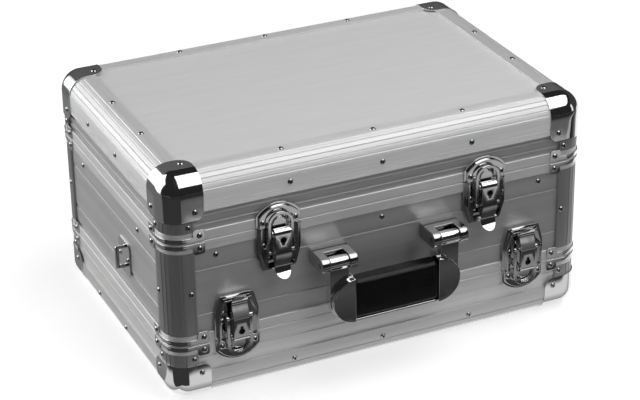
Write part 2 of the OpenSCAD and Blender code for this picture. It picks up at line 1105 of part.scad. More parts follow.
module body_floor_board() {
    board_in = wall_t + foam_side;
    in_frame()
        color(board_brown)
            translate([0, 0, lower_z + frame_low + ledge_t + seat])
                linear_extrude(height = board_t)
                    rounded_plan(case_w - 2 * board_in, case_d - 2 * board_in, edge_r - board_in);
}

// Places of the microphones in plan
module at_microphones() {
    for (i = [0 : hole_cols - 1], j = [0 : hole_rows - 1])
        translate([
            (i - (hole_cols - 1) / 2) * hole_pitch_x, (j - (hole_rows - 1) / 2) * hole_pitch_y
        ])
            children();
}

module microphone_foam() {
    foam_in = wall_t + foam_side;
    in_frame()
        color(foam_grey)
            difference() {
                translate([0, 0, foam_z])
                    linear_extrude(height = foam_top - foam_z)
                        rounded_plan(case_w - 2 * foam_in, case_d - 2 * foam_in, edge_r - foam_in);
                at_microphones() {
                    translate([0, 0, foam_z + hole_floor])
                        cylinder(d = hole_d, h = body_h);
                    translate([0, 0, foam_top - collar_d])
                        cylinder(d = head_d, h = body_h);
                }
            }
}

module body_rivets() {
    in_frame()
        color(steel) {
            for (k = [0 : 3])
                on_side(k)
                    for (s = k % 2 == 0 ? panel_rivet_shares : side_panel_rivet_shares)
                        side_rivet(along_side(k, s), panel_face, upper_z - panel_rivet_in);
            post_rivets((lower_z + upper_z) / 2);
            translate([0, 0, lower_z])
                brace_rivets();
            translate([0, 0, upper_z])
                mirror([0, 0, 1])
                    brace_rivets();
            at_hinges(lower_z)
                leaf_rivets();
            at_hinges(upper_z)
                mirror([0, 0, 1])
                    leaf_rivets();
            for (sx = [-1, 1]) {
                at_upper_latch(sx)
                    plate_rivets();
                at_lower_latch(sx)
                    plate_rivets();
            }
            loop_rivets();
        }
}

module plate_rivets() {
    for (x = [-latch_rivet_x, latch_rivet_x])
        side_rivet(x, -plate_t, latch_rivet_z);
}

module upper_latch_plates() {
    in_frame()
        color(chrome)
            for (sx = [-1, 1])
                at_upper_latch(sx)
                    latch_plate();
}

module lower_latch_plates() {
    in_frame()
        color(chrome)
            for (sx = [-1, 1])
                at_lower_latch(sx)
                    latch_plate();
}

module latch_pivot_pins() {
    in_frame()
        color(steel)
            for (sx = [-1, 1]) {
                at_upper_latch(sx)
                    latch_pin();
                at_lower_latch(sx)
                    latch_pin();
            }
}

module lower_hinge_body_leaves() {
    in_frame()
        color(steel)
            at_hinges(lower_z)
                hinge_leaf([1]);
}

module upper_hinge_body_leaves() {
    in_frame()
        color(steel)
            at_hinges(upper_z)
                mirror([0, 0, 1])
                    hinge_leaf([0, 2]);
}

module upper_hinge_pins() {
    in_frame()
        color(steel)
            at_hinges(upper_z)
                hinge_pin();
}

// Handle bracket: a box with a slot for the handle's strap, rounded round the pin
module handle_bracket() {
    inner_w = strap_w + 2 * strap_gap;
    difference() {
        across(bracket_w) {
            translate([handle_out, 0])
                circle(r = ear_half_h);
            translate([-panel_face, -ear_half_h])
                square([handle_out + panel_face, 2 * ear_half_h]);
        }
        across(inner_w)
            translate([bracket_web, -2 * ear_half_h])
                square([handle_out + ear_half_h, 4 * ear_half_h]);
        across(2 * bracket_w)
            translate([handle_out, 0])
                circle(r = handle_pin_r);
    }
}

module at_brackets() {
    for (sx = [-1, 1])
        translate([sx * bracket_x, -case_d / 2, handle_z])
            children();
}

module handle_brackets() {
    in_frame()
        color(chrome)
            at_brackets()
                handle_bracket();
}

module handle_hinge_pins() {
    in_frame()
        color(steel)
            at_brackets()
                across(bracket_w)
                    translate([handle_out, 0])
                        circle(r = handle_pin_r);
}

module at_strap_loops() {
    for (k = [1, 3])
        on_side(k)
            translate([k == 3 ? -loop_y : loop_y, panel_face, loop_z])
                children();
}

module side_strap_loops() {
    in_frame()
        color(chrome)
            at_strap_loops() {
                raised(0, loop_plate_t)
                    rounded_plan(loop_plate_w, loop_plate_h, loop_plate_r);
                translate([0, -loop_bar_out, -loop_half])
                    cylinder(r = loop_bar_r, h = 2 * loop_half);
                for (sz = [-1, 1])
                    translate([0, 0, sz * loop_half]) {
                        raised(0, loop_bar_out)
                            circle(r = loop_bar_r);
                        translate([0, -loop_bar_out, 0])
                            sphere(r = loop_bar_r);
                    }
            }
}

module loop_rivets() {
    at_strap_loops()
        for (sx = [-1, 1])
            side_rivet(sx * loop_rivet_y, -loop_plate_t, 0);
}

// Lid

module lid_top_panel() {
    in_frame()
        color(top_grey)
            translate([
                -case_w / 2 + pocket + fit, -case_d / 2 + pocket + fit,
                top_z - panel_face - panel_t
            ])
                cube([case_w - 2 * pocket - 2 * fit, case_d - 2 * pocket - 2 * fit, panel_t]);
}

module lid_side_panels() {
    in_frame()
        color(panel_grey)
            side_panels(
                upper_z + frame_low + frame_web + fit,
                top_z - pocket - fit,
                [
                    [upper_z + lid_rib_z - lid_rib_h, panel_groove_w],
                    [upper_z + lid_rib_z, panel_groove_w]
                ]);
}

module lid_edge_profiles() {
    in_frame()
        color(aluminium)
            translate([0, 0, top_z])
                mirror([0, 0, 1])
                    edge_profiles(lid_side_leg, true);
}

module lid_corner_posts() {
    in_frame()
        color(aluminium)
            corner_posts(upper_z + frame_top, top_z - lid_side_leg - seat);
}

module lid_closing_frame() {
    in_frame()
        color(aluminium)
            translate([0, 0, upper_z])
                closing_frame(false);
}

module lid_corner_braces() {
    in_frame()
        color(chrome)
            translate([0, 0, upper_z])
                at_corners()
                    corner_brace();
}

module lid_ball_corners() {
    in_frame()
        color(chrome)
            translate([0, 0, top_z])
                mirror([0, 0, 1])
                    at_corners()
                        ball_corner(lid_ball_drop);
}

module lid_foam() {
    in_frame()
        color(foam_grey)
            difference() {
                translate([0, 0, top_z - panel_face - panel_t - seat - lid_foam_t])
                    linear_extrude(height = lid_foam_t)
                        rounded_plan(case_w - 2 * lid_foam_in, case_d - 2 * lid_foam_in, edge_r / 2);
                at_microphones()
                    translate([0, 0, upper_z])
                        cylinder(d = head_d, h = 2 * lid_h);
            }
}

module lid_rivets() {
    in_frame()
        color(steel) {
            translate([0, 0, top_z])
                mirror([0, 0, 1]) {
                    ball_rivets(lid_ball_drop);
                    at_corners()
                        flat_rivet(corner_rivet_in, corner_rivet_in, -press_t, rivet_h);
                    profile_rivets(lid_flange_rivet_in, rivet_h);
                }
            post_rivets(upper_z + short_post_rivet_up);
            translate([0, 0, upper_z])
                brace_rivets();
            at_hinges(upper_z)
                leaf_rivets();
            for (sx = [-1, 1])
                at_upper_latch(sx)
                    keeper_rivets();
        }
}

module upper_keepers() {
    in_frame()
        color(chrome)
            for (sx = [-1, 1])
                at_upper_latch(sx)
                    keeper();
}

module upper_hinge_lid_leaves() {
    in_frame()
        color(steel)
            at_hinges(upper_z)
                hinge_leaf([1]);
}

// Handle

module handle_frame() {
    grip_z = -handle_drop + cap_r + rim_t;
    in_frame()
        color(chrome)
            translate([0, -case_d / 2, handle_z])
                for (sx = [0, 1])
                    mirror([sx, 0, 0]) {
                        difference() {
                            union() {
                                across(strap_w, bracket_x)
                                    translate([handle_out, 0])
                                        circle(r = roll_r);
                                raised(handle_out - strap_t / 2, handle_out + strap_t / 2) {
                                    translate([bracket_x - strap_w / 2, grip_z])
                                        square([strap_w, -grip_z]);
                                    half_disc(cap_r + rim_t, grip_z);
                                }
                                raised(handle_out - cap_half_t, handle_out + cap_half_t)
                                    half_disc(cap_r, grip_z);
                                raised(handle_out - strip_half_t, handle_out + strip_half_t)
                                    translate([0, -handle_drop])
                                        square([grip_half, strip_t]);
                            }
                            across(2 * strap_w, bracket_x)
                                translate([handle_out, 0])
                                    circle(r = handle_pin_r + turn);
                        }
                    }
}

// Half disc outside the end of the grip, at a height
module half_disc(r, z) {
    translate([grip_half, z])
        intersection() {
            circle(r = r);
            translate([0, -2 * r])
                square([2 * r, 4 * r]);
        }
}

module handle_grip() {
    low = -handle_drop + strip_t + grip_gap;
    in_frame()
        color(grip_black)
            translate([0, -case_d / 2, handle_z])
                across(2 * (grip_half - grip_gap))
                    translate([handle_out, low + grip_h / 2])
                        rounded_plan(2 * grip_half_t, grip_h, grip_edge_r);
}

module upper_left_lever() {
    in_frame()
        color(chrome)
            at_upper_latch(-1)
                lever();
}

module upper_right_lever() {
    in_frame()
        color(chrome)
            at_upper_latch(1)
                lever();
}

module lower_left_lever() {
    in_frame()
        color(chrome)
            at_lower_latch(-1)
                lever();
}

module lower_right_lever() {
    in_frame()
        color(chrome)
            at_lower_latch(1)
                lever();
}

module upper_left_bail() {
    in_frame()
        color(chrome)
            at_upper_latch(-1)
                bail();
}

module upper_right_bail() {
    in_frame()
        color(chrome)
            at_upper_latch(1)
                bail();
}

module lower_left_bail() {
    in_frame()
        color(chrome)
            at_lower_latch(-1)
                bail();
}

module lower_right_bail() {
    in_frame()
        color(chrome)
            at_lower_latch(1)
                bail();
}

module upper_left_lock_barrel() {
    in_frame()
        color(steel)
            at_upper_latch(-1)
                lock_barrel();
}

module upper_right_lock_barrel() {
    in_frame()
        color(steel)
            at_upper_latch(1)
                lock_barrel();
}

module lower_left_lock_barrel() {
    in_frame()
        color(steel)
            at_lower_latch(-1)
                lock_barrel();
}

module lower_right_lock_barrel() {
    in_frame()
        color(steel)
            at_lower_latch(1)
                lock_barrel();
}

base_bottom_panel();
base_side_panels();
base_edge_profiles();
base_corner_posts();
base_closing_frame();
base_ball_corners();
base_corner_braces();
base_lining();
base_rivets();
lower_keepers();
lower_hinge_base_leaves();
lower_hinge_pins();
body_lower_closing_frame();
body_upper_closing_frame();
body_side_panels();
body_corner_posts();
body_lower_braces();
body_upper_braces();
body_floor_board();
microphone_foam();
body_rivets();
upper_latch_plates();
lower_latch_plates();
latch_pivot_pins();
lower_hinge_body_leaves();
upper_hinge_body_leaves();
upper_hinge_pins();
handle_brackets();
handle_hinge_pins();
side_strap_loops();
lid_top_panel();
lid_side_panels();
lid_edge_profiles();
lid_corner_posts();
lid_closing_frame();
lid_corner_braces();
lid_ball_corners();
lid_foam();
lid_rivets();
upper_keepers();
upper_hinge_lid_leaves();
handle_frame();
handle_grip();
upper_left_lever();
upper_right_lever();
lower_left_lever();
lower_right_lever();
upper_left_bail();
upper_right_bail();
lower_left_bail();
lower_right_bail();
upper_left_lock_barrel();
upper_right_lock_barrel();
lower_left_lock_barrel();
lower_right_lock_barrel();
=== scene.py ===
"""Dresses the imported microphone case: finishes, corners, rivets, latches, handle, foams and studio."""

import json
import math

import bmesh
import bpy
from mathutils import Matrix, Vector, noise

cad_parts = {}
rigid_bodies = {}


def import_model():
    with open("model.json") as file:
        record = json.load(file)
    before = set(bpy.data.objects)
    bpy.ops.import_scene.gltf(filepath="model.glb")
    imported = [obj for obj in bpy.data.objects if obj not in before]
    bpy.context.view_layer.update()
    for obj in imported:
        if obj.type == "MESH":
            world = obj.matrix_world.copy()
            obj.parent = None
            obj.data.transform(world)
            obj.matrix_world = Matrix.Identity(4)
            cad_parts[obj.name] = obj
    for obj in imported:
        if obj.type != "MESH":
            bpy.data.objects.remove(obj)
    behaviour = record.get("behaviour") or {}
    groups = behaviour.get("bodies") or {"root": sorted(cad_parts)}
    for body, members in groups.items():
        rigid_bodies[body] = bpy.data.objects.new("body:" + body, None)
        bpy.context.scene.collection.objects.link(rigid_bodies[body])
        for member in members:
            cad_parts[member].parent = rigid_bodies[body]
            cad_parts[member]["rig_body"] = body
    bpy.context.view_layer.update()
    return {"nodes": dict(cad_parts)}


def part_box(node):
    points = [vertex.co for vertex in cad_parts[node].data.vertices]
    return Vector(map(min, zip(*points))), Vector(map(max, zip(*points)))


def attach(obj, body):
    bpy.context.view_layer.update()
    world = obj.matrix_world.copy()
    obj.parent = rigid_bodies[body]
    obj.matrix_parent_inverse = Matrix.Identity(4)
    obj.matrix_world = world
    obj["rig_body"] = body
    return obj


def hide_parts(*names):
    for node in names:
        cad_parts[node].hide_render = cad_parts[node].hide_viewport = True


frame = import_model()
nodes = frame["nodes"]

bl_info = {
    "name": "Microphone case",
    "version": (1, 0, 0),
    "blender": (4, 5, 0),
    "location": "3D View > Sidebar > Case",
    "description": "Finishes a microphone case: metals, corners, rivets, latches, handle and foams",
    "category": "Add Mesh",
}

MM = 0.001

# Sizes that the pieces share, read from the frame
CASE_LOW, CASE_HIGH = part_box("body_side_panels")
PLAN_CENTRE = Vector(((CASE_LOW.x + CASE_HIGH.x) / 2, (CASE_LOW.y + CASE_HIGH.y) / 2, 0))
PROFILE_LOW, PROFILE_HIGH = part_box("lid_closing_frame")
HALF_WIDTH = (PROFILE_HIGH.x - PROFILE_LOW.x) / 2
HALF_DEPTH = (PROFILE_HIGH.y - PROFILE_LOW.y) / 2

# Width of the strips at the case's left and right, where metal lines run from front to rear
SIDE_STRIP = 31 * MM

# Vertices closer than this are one vertex
WELD = 0.002 * MM

# Rounding of the edges of pressings and pins
BRACE_EDGE = 0.35 * MM
LATCH_PIN_EDGE = 0.15 * MM
HANDLE_EDGE = 0.9 * MM
BRACKET_EDGE = 0.6 * MM
HANDLE_PIN_EDGE = 0.3 * MM
HINGE_EDGE = 0.25 * MM
STRAP_EDGE = 0.4 * MM

# A rivet's head: heights as shares of the head's, widths as shares of its hole's, depths of its recess's
FOOT_HEIGHT = 0.1
SHOULDER_HEIGHT = 0.86
CREST_WIDTH = 1.15
MOUTH_HEIGHT = 0.95
FLOOR_WIDTH = 0.94
MANDREL_WIDTH = 0.5
MANDREL_END_WIDTH = 0.42
MANDREL_END_DEPTH = 0.45
MANDREL_TIP_DEPTH = 0.35
FULL_HEAD = 1.4 * MM

# Where the photograph was taken from, fitted to the case's edges in it
CAMERA_PLACE = Vector((-0.8187, -1.8205, 1.1144))
CAMERA_RIGHT = Vector((0.90825, -0.41814, -0.01545))
CAMERA_FORWARD = Vector((0.36691, 0.81367, -0.45091))

# Grey of each band of painted reflection on the card over the floor that only mirrors see, and how far out
# from the case's foot it lies, in metres
FLOOR_REFLECTION_BANDS = (
    (0.30, 0.0), (0.75, 0.02), (0.75, 0.045), (0.04, 0.055), (0.04, 0.085), (0.28, 0.10),
    (0.28, 0.125), (0.03, 0.14), (0.07, 0.20), (0.01, 0.25), (0.01, 0.29), (0.45, 0.32),
    (0.45, 0.36), (0.14, 0.375), (0.10, 0.46), (0.03, 0.60), (0.02, 2.2))

# Grey of the bands of painted reflection on the card over the floor's left, and their distance from the
# case's middle, in metres
LEFT_REFLECTION_BANDS = ((0.20, 0.231), (0.30, 0.28), (0.16, 0.42), (0.16, 2.4))


def linear(hex_colour):
    """The linear RGBA of an sRGB hex colour."""
    channels = [int(hex_colour[i:i + 2], 16) / 255 for i in (0, 2, 4)]
    return [c / 12.92 if c <= 0.04045 else ((c + 0.055) / 1.055) ** 2.4 for c in channels] + [1.0]


def colour_property(name, description, hex_colour):
    """A colour setting whose default is an sRGB hex colour."""
    return bpy.props.FloatVectorProperty(
        name=name, description=description, subtype="COLOR", size=4, min=0, max=1,
        default=linear(hex_colour))


class CaseColourSettings(bpy.types.PropertyGroup):
    """Colours of the materials."""

    # The lid's profiles, closing frames, base's profiles and posts are one anodised extrusion in four tones
    # and metallic shares, lightest on the lid and darkest on the upright posts: partly painted light and
    # shade
    profile: colour_property("Profile", "Anodised edge profiles of the lid", "F0F0F0")
    base_profile: colour_property("Base profile", "Anodised edge profiles of the base", "E3E3E3")
    frame: colour_property("Frame", "Anodised closing frames", "E6E6E6")
    post: colour_property("Post", "Anodised corner posts", "C5C5C5")
    # The top and base panels are lighter copies of the side panels' laminate, the top far less metallic:
    # partly painted light by where they sit
    panel: colour_property("Panel", "Brushed side panels of the body and the lid", "D5D5D5")
    base_panel: colour_property("Base panel", "Brushed panels of the base", "E6E6E6")
    top_panel: colour_property("Top panel", "Brushed top panel", "EEEEEE")
    paper: colour_property("Paper", "Paper on the top panel's inner face", "1C1C1C")
    chrome: colour_property("Chrome", "Chrome plate", "E3E3E3")
    bracket: colour_property("Bracket", "Nickel plate of the handle's brackets", "BABABA")
    rivet: colour_property("Rivet", "Nickel plate of the rivets", "C4C4C4")
    steel_light: colour_property("Light zinc", "Lighter spangles of the zinc plate", "909090")
    steel_dark: colour_property("Dark zinc", "Darker spangles of the zinc plate", "7C7C7C")
    # The lock barrels' near-black tone is partly painted shade inside the keyholes
    lock: colour_property("Lock", "Phosphated lock barrels", "1F1F1F")
    mandrel: colour_property("Mandrel", "Broken mandrels in the rivets", "2C2C2C")
    grip: colour_property("Grip", "Moulded grip", "090909")
    foam_dark: colour_property("Dark foam", "Middles of the foam's cells", "181818")
    foam_light: colour_property("Light foam", "Rims of the foam's cells", "3E3E3E")
    board_dark: colour_property("Dark grain", "Darker grain of the floor board", "B08D60")
    board_light: colour_property("Light grain", "Lighter grain of the floor board", "D9BC8E")
    floor: colour_property("Floor", "Paper floor of the studio", "F4F4F4")


class CaseMetalSettings(bpy.types.PropertyGroup):
    """Gloss, lines and edges of the case's metals."""

    extrusion_roughness: bpy.props.FloatProperty(
        name="Profile roughness", description="Gloss of the anodised profiles", default=0.48,
        min=0, max=1, subtype="FACTOR")
    panel_roughness: bpy.props.FloatProperty(
        name="Panel roughness", description="Gloss of the panels' aluminium face", default=0.40,
        min=0, max=1, subtype="FACTOR")
    chrome_roughness: bpy.props.FloatProperty(
        name="Chrome roughness", description="Gloss of the chrome plate", default=0.05,
        min=0, max=1, subtype="FACTOR")
    frame_edge: bpy.props.FloatProperty(
        name="Frame edge", description="Rounding of the closing frames' lips", default=1.1 * MM,
        unit="LENGTH")
    die_line: bpy.props.FloatProperty(
        name="Die line", description="Spacing of the lines along a profile", default=1.1 * MM,
        unit="LENGTH")
    brush_line: bpy.props.FloatProperty(
        name="Brush line", description="Spacing of the brushed lines on the panels", default=0.8 * MM,
        unit="LENGTH")


class CaseCornerSettings(bpy.types.PropertyGroup):
    """Sizes of the pressed ball corners."""

    lobe_radius: bpy.props.FloatProperty(
        name="Side lobe radius", description="Corner radius of the lobes on the sides",
        default=9 * MM, unit="LENGTH")
    top_lobe_radius: bpy.props.FloatProperty(
        name="Top lobe radius", description="Corner radius of the lobe on the top or underside",
        default=14 * MM, unit="LENGTH")
    edge_radius: bpy.props.FloatProperty(
        name="Edge radius", description="Outer radius of the pressed corner", default=22.2 * MM,
        unit="LENGTH")
    steps: bpy.props.IntProperty(
        name="Steps", description="Steps along each lobe", default=18, min=6, max=40)


class CaseRivetSettings(bpy.types.PropertyGroup):
    """Sizes of the blind rivets."""

    head_radius: bpy.props.FloatProperty(
        name="Head radius", description="Radius of a rivet's head", default=3.1 * MM, unit="LENGTH")
    recess_radius: bpy.props.FloatProperty(
        name="Recess radius", description="Radius of the hole that the mandrel leaves",
        default=1.25 * MM, unit="LENGTH")
    steep_slope: bpy.props.FloatProperty(
        name="Steep slope", description="Slope of a head's shoulder at its rim", default=math.radians(58),
        subtype="ANGLE")
    easy_slope: bpy.props.FloatProperty(
        name="Easy slope", description="Slope of a head's shoulder at its crest", default=math.radians(30),
        subtype="ANGLE")
    shoulder_rings: bpy.props.IntProperty(
        name="Shoulder rings", description="Rings of faces on a rivet's shoulder", default=5, min=3, max=16)
    recess_depth: bpy.props.FloatProperty(
        name="Recess depth", description="Depth of the hole that the mandrel leaves",
        default=0.65 * MM, unit="LENGTH")
    segments: bpy.props.IntProperty(
        name="Segments", description="Segments round a rivet", default=24, min=12, max=48)


class CaseLatchSettings(bpy.types.PropertyGroup):
    """Sizes of the levers' curled tabs, and the rounding of the latches' edges."""

    tab_length: bpy.props.FloatProperty(
        name="Tab length", description="Length of a lever's curled thumb tab", default=10.5 * MM,
        unit="LENGTH")
    tab_curl: bpy.props.FloatProperty(
        name="Tab curl", description="How far the tab's tip stands off", default=5.4 * MM, unit="LENGTH")
    tab_steps: bpy.props.IntProperty(
        name="Tab steps", description="Bends along a tab", default=9, min=3, max=24)
    edge: bpy.props.FloatProperty(
        name="Edge radius", description="Roundness of the pressings' edges", default=0.45 * MM, unit="LENGTH")


class CaseFoamSettings(bpy.types.PropertyGroup):
    """Sizes of the soft pieces inside."""

    voxel: bpy.props.FloatProperty(
        name="Voxel", description="Grid at which the foam's edges soften", default=3.2 * MM,
        unit="LENGTH")
    cell: bpy.props.FloatProperty(
        name="Cell", description="Size of the foam's cells", default=1.0 * MM, unit="LENGTH")
    cut_wave: bpy.props.FloatProperty(
        name="Cut wave", description="Unevenness that the foam cutter leaves", default=0.25 * MM,
        unit="LENGTH")


class CaseHandleSettings(bpy.types.PropertyGroup):
    """Sizes of the moulded grip."""

    edge_radius: bpy.props.FloatProperty(
        name="Edge radius", description="Radius along the grip's edges", default=8.5 * MM,
        unit="LENGTH")
    end_radius: bpy.props.FloatProperty(
        name="End radius", description="Radius round the grip's ends", default=2.5 * MM,
        unit="LENGTH")


class CaseStageSettings(bpy.types.PropertyGroup):
    """The studio and the camera."""

    softbox_level: bpy.props.FloatProperty(
        name="Softbox level", description="Radiance of the softboxes", default=2.0, min=0)
    sky_level: bpy.props.FloatProperty(
        name="Sky level", description="Strength of the even light from all round", default=0.3, min=0)
    lens: bpy.props.FloatProperty(
        name="Lens", description="Focal length of the camera", default=118.33, unit="CAMERA")


SETTING_GROUPS = {
    "case_colour": CaseColourSettings,
    "case_metal": CaseMetalSettings,
    "case_corner": CaseCornerSettings,
    "case_rivet": CaseRivetSettings,
    "case_foam": CaseFoamSettings,
    "case_latch": CaseLatchSettings,
    "case_handle": CaseHandleSettings,
    "case_stage": CaseStageSettings,
}


# Materials

def add_node(tree, kind, inputs=None, **settings):
    """A new node with its settings, and its inputs set to values or linked from sockets."""
    node = tree.nodes.new(kind)
    for name, value in settings.items():
        setattr(node, name, value)
    for name, value in (inputs or {}).items():
        if isinstance(value, bpy.types.NodeSocket):
            tree.links.new(value, node.inputs[name])
        else:
            node.inputs[name].default_value = value
    return node


def new_material(name, inputs):
    """A material with a Principled shader, its tree, the shader and the object's own coordinates."""
    material = bpy.data.materials.new(name)
    material.use_nodes = True
    tree = material.node_tree
    tree.nodes.clear()
    shader = add_node(tree, "ShaderNodeBsdfPrincipled", inputs)
    add_node(tree, "ShaderNodeOutputMaterial", {"Surface": shader.outputs["BSDF"]})
    place = add_node(tree, "ShaderNodeTexCoord").outputs["Object"]
    return material, tree, shader, place


def side_mask(tree, place):
    """One on the left and right sides of the case, where lines run from front to rear, and zero elsewhere."""
    apart = add_node(tree, "ShaderNodeSeparateXYZ", {"Vector": place})
    outward = add_node(tree, "ShaderNodeMath", {0: apart.outputs["X"]}, operation="ABSOLUTE")
    return add_node(tree, "ShaderNodeMath", {0: outward.outputs[0], 1: HALF_WIDTH - SIDE_STRIP},
                    operation="GREATER_THAN").outputs[0]


def along_lines(tree, place, spacing, axis=None, stretch=60.0):
    """Coordinates stretched along a metal's lines, and the lines' own direction.

    The lines run along one axis, or round the case where no axis is given.
    """
    spots, ways = [], []
    for along in ([0, 1] if axis is None else [axis]):
        scale = [1 / spacing] * 3
        scale[along] /= stretch
        spots.append(add_node(tree, "ShaderNodeMapping", {"Vector": place, "Scale": scale}).outputs[0])
        ways.append([float(i == along) for i in range(3)])
    if axis is not None:
        spot, way = spots[0], ways[0]
    else:
        mask = side_mask(tree, place)
        spot, way = (
            add_node(tree, "ShaderNodeMix", {0: mask, 4: pair[0], 5: pair[1]}, data_type="VECTOR").outputs[1]
            for pair in (spots, ways))
    turned = add_node(tree, "ShaderNodeVectorTransform", {0: way}, vector_type="VECTOR",
                      convert_from="OBJECT", convert_to="WORLD")
    return spot, turned.outputs[0]


def lined_metal(name, colour, roughness, spread, spacing, depth, contrast, axis=None, metallic=1.0,
                streaks=0.05):
    """A metal with fine parallel lines in its gloss, tone and surface, its sheen drawn out across them."""
    material, tree, shader, place = new_material(name, {"Metallic": metallic})
    lines, way = along_lines(tree, place, spacing, axis)
    fine = add_node(tree, "ShaderNodeTexNoise", {"Vector": lines, "Scale": 1.0, "Detail": 3.0,
                                                 "Roughness": 0.6})
    streak = add_node(tree, "ShaderNodeTexNoise", {"Vector": lines, "Scale": 0.07, "Detail": 1.0})
    tone = add_node(tree, "ShaderNodeMapRange", {
        "Value": fine.outputs["Fac"], "From Min": 0.3, "From Max": 0.7,
        "To Min": 1 - contrast, "To Max": 1 + contrast / 3})
    stain = add_node(tree, "ShaderNodeMapRange", {
        "Value": streak.outputs["Fac"], "From Min": 0.35, "From Max": 0.65,
        "To Min": 1 - streaks, "To Max": 1 + streaks / 2})
    both = add_node(tree, "ShaderNodeMath", {0: tone.outputs[0], 1: stain.outputs[0]},
                    operation="MULTIPLY")
    tint = add_node(tree, "ShaderNodeVectorMath", {
        0: colour[:3], "Scale": both.outputs[0]}, operation="SCALE")
    gloss = add_node(tree, "ShaderNodeMapRange", {
        "Value": fine.outputs["Fac"], "From Min": 0.25, "From Max": 0.75,
        "To Min": roughness - 0.04, "To Max": roughness + 0.04})
    bump = add_node(tree, "ShaderNodeBump", {
        "Height": fine.outputs["Fac"], "Strength": 0.35, "Distance": depth})
    shader.inputs["Anisotropic"].default_value = spread
    shader.inputs["Anisotropic Rotation"].default_value = 0.25
    tree.links.new(way, shader.inputs["Tangent"])
    tree.links.new(tint.outputs[0], shader.inputs["Base Color"])
    tree.links.new(gloss.outputs[0], shader.inputs["Roughness"])
    tree.links.new(bump.outputs[0], shader.inputs["Normal"])
    return material


def anodised_profile(settings, name, colour, axis=None, metallic=0.9):
    # 6063 extrusion, satin anodised: a bright soft sheen with faint lines that the die draws along it.
    # Real die lines lie 0.1 mm apart, too fine to show, so they are drawn about 1 mm apart.
    return lined_metal(name, colour, settings.extrusion_roughness, 0.6, settings.die_line, 0.03 * MM,
                       0.10, axis, metallic)


def brushed_sheet(settings, name, colour, axis=None, metallic=1.0, streaks=0.06):
    # Aluminium sheet laminated on plywood, brushed along its length: a broad soft highlight across
    # the brushing. Real brush lines lie under 0.1 mm apart, so they are drawn coarser.
    return lined_metal(name, colour, settings.panel_roughness, 0.65, settings.brush_line, 0.02 * MM,
                       0.07, axis, metallic, streaks)


def papered_sheet(settings, name, colour, paper, metallic, inner_face):
    # The lid's sheet on its plywood, whose inner face is covered with plain black paper.
    material = brushed_sheet(settings, name, colour, 0, metallic, streaks=0.012)
    tree = material.node_tree
    shader = next(node for node in tree.nodes if node.type == "BSDF_PRINCIPLED")
    place = add_node(tree, "ShaderNodeTexCoord").outputs["Object"]
    apart = add_node(tree, "ShaderNodeSeparateXYZ", {"Vector": place})
    outside = add_node(tree, "ShaderNodeMath", {0: apart.outputs["Z"], 1: inner_face + 0.5 * MM},
                       operation="GREATER_THAN").outputs[0]
    sheet = shader.inputs["Base Color"].links[0].from_socket
    tint = add_node(tree, "ShaderNodeMix", {0: outside, 6: paper, 7: sheet}, data_type="RGBA")
    metal = add_node(tree, "ShaderNodeMath", {0: outside, 1: metallic}, operation="MULTIPLY")
    tree.links.new(tint.outputs[2], shader.inputs["Base Color"])
    tree.links.new(metal.outputs[0], shader.inputs["Metallic"])
    return material


def chrome_plate(settings, name, colour):
    # Bright chromium over pressed steel: a sharp mirror that bends a little over the pressing's
    # waves, with a faint haze where hands have touched it.
    material, tree, shader, place = new_material(name, {"Base Color": colour, "Metallic": 1.0})
    haze = add_node(tree, "ShaderNodeTexNoise", {"Vector": place, "Scale": 70.0, "Detail": 4.0})
    wave = add_node(tree, "ShaderNodeTexNoise", {"Vector": place, "Scale": 110.0, "Detail": 0.0})
    gloss = add_node(tree, "ShaderNodeMapRange", {
        "Value": haze.outputs["Fac"], "From Min": 0.45, "From Max": 0.75,
        "To Min": settings.chrome_roughness, "To Max": settings.chrome_roughness + 0.10})
    bump = add_node(tree, "ShaderNodeBump", {
        "Height": wave.outputs["Fac"], "Strength": 0.25, "Distance": 0.12 * MM})
    tree.links.new(gloss.outputs[0], shader.inputs["Roughness"])
    tree.links.new(bump.outputs[0], shader.inputs["Normal"])
    return material


def zinc_plate(light, dark):
    # Zinc-plated steel of rivets, hinges and pins: greyer and softer than chrome, slightly mottled.
    material, tree, shader, place = new_material("zinc_plated_steel", {"Metallic": 1.0})
    spangle = add_node(tree, "ShaderNodeTexVoronoi", {"Vector": place, "Scale": 900.0})
    tone = add_node(tree, "ShaderNodeMix", {
        0: spangle.outputs["Distance"], 6: light, 7: dark}, data_type="RGBA")
    gloss = add_node(tree, "ShaderNodeMapRange", {
        "Value": spangle.outputs["Distance"], "To Min": 0.16, "To Max": 0.26})
    tree.links.new(tone.outputs[2], shader.inputs["Base Color"])
    tree.links.new(gloss.outputs[0], shader.inputs["Roughness"])
    return material


def rivet_steel(colour):
    # Nickel-plated rivet heads: small dark mirrors, each with one sharp light in it.
    material, tree, shader, place = new_material(
        "nickel_plated_rivet", {"Base Color": colour, "Metallic": 1.0})
    rubbed = add_node(tree, "ShaderNodeTexNoise", {"Vector": place, "Scale": 600.0, "Detail": 2.0})
    gloss = add_node(tree, "ShaderNodeMapRange", {
        "Value": rubbed.outputs["Fac"], "From Min": 0.35, "From Max": 0.7, "To Min": 0.07,
        "To Max": 0.16})
    tree.links.new(gloss.outputs[0], shader.inputs["Roughness"])
    return material


def lock_steel_with_painted_shade(colour):
    # The lock's barrel, phosphated steel: almost black, with a dull broken gloss. Its near-black tone is
    # partly painted shade, standing in for the shadow inside the keyhole.
    material, tree, shader, place = new_material(
        "lock_steel_with_painted_shade", {"Base Color": colour, "Metallic": 0.7})
    bloom = add_node(tree, "ShaderNodeTexNoise", {"Vector": place, "Scale": 900.0, "Detail": 3.0})
    gloss = add_node(tree, "ShaderNodeMapRange", {
        "Value": bloom.outputs["Fac"], "From Min": 0.35, "From Max": 0.7, "To Min": 0.35,
        "To Max": 0.55})
    tree.links.new(gloss.outputs[0], shader.inputs["Roughness"])
    return material


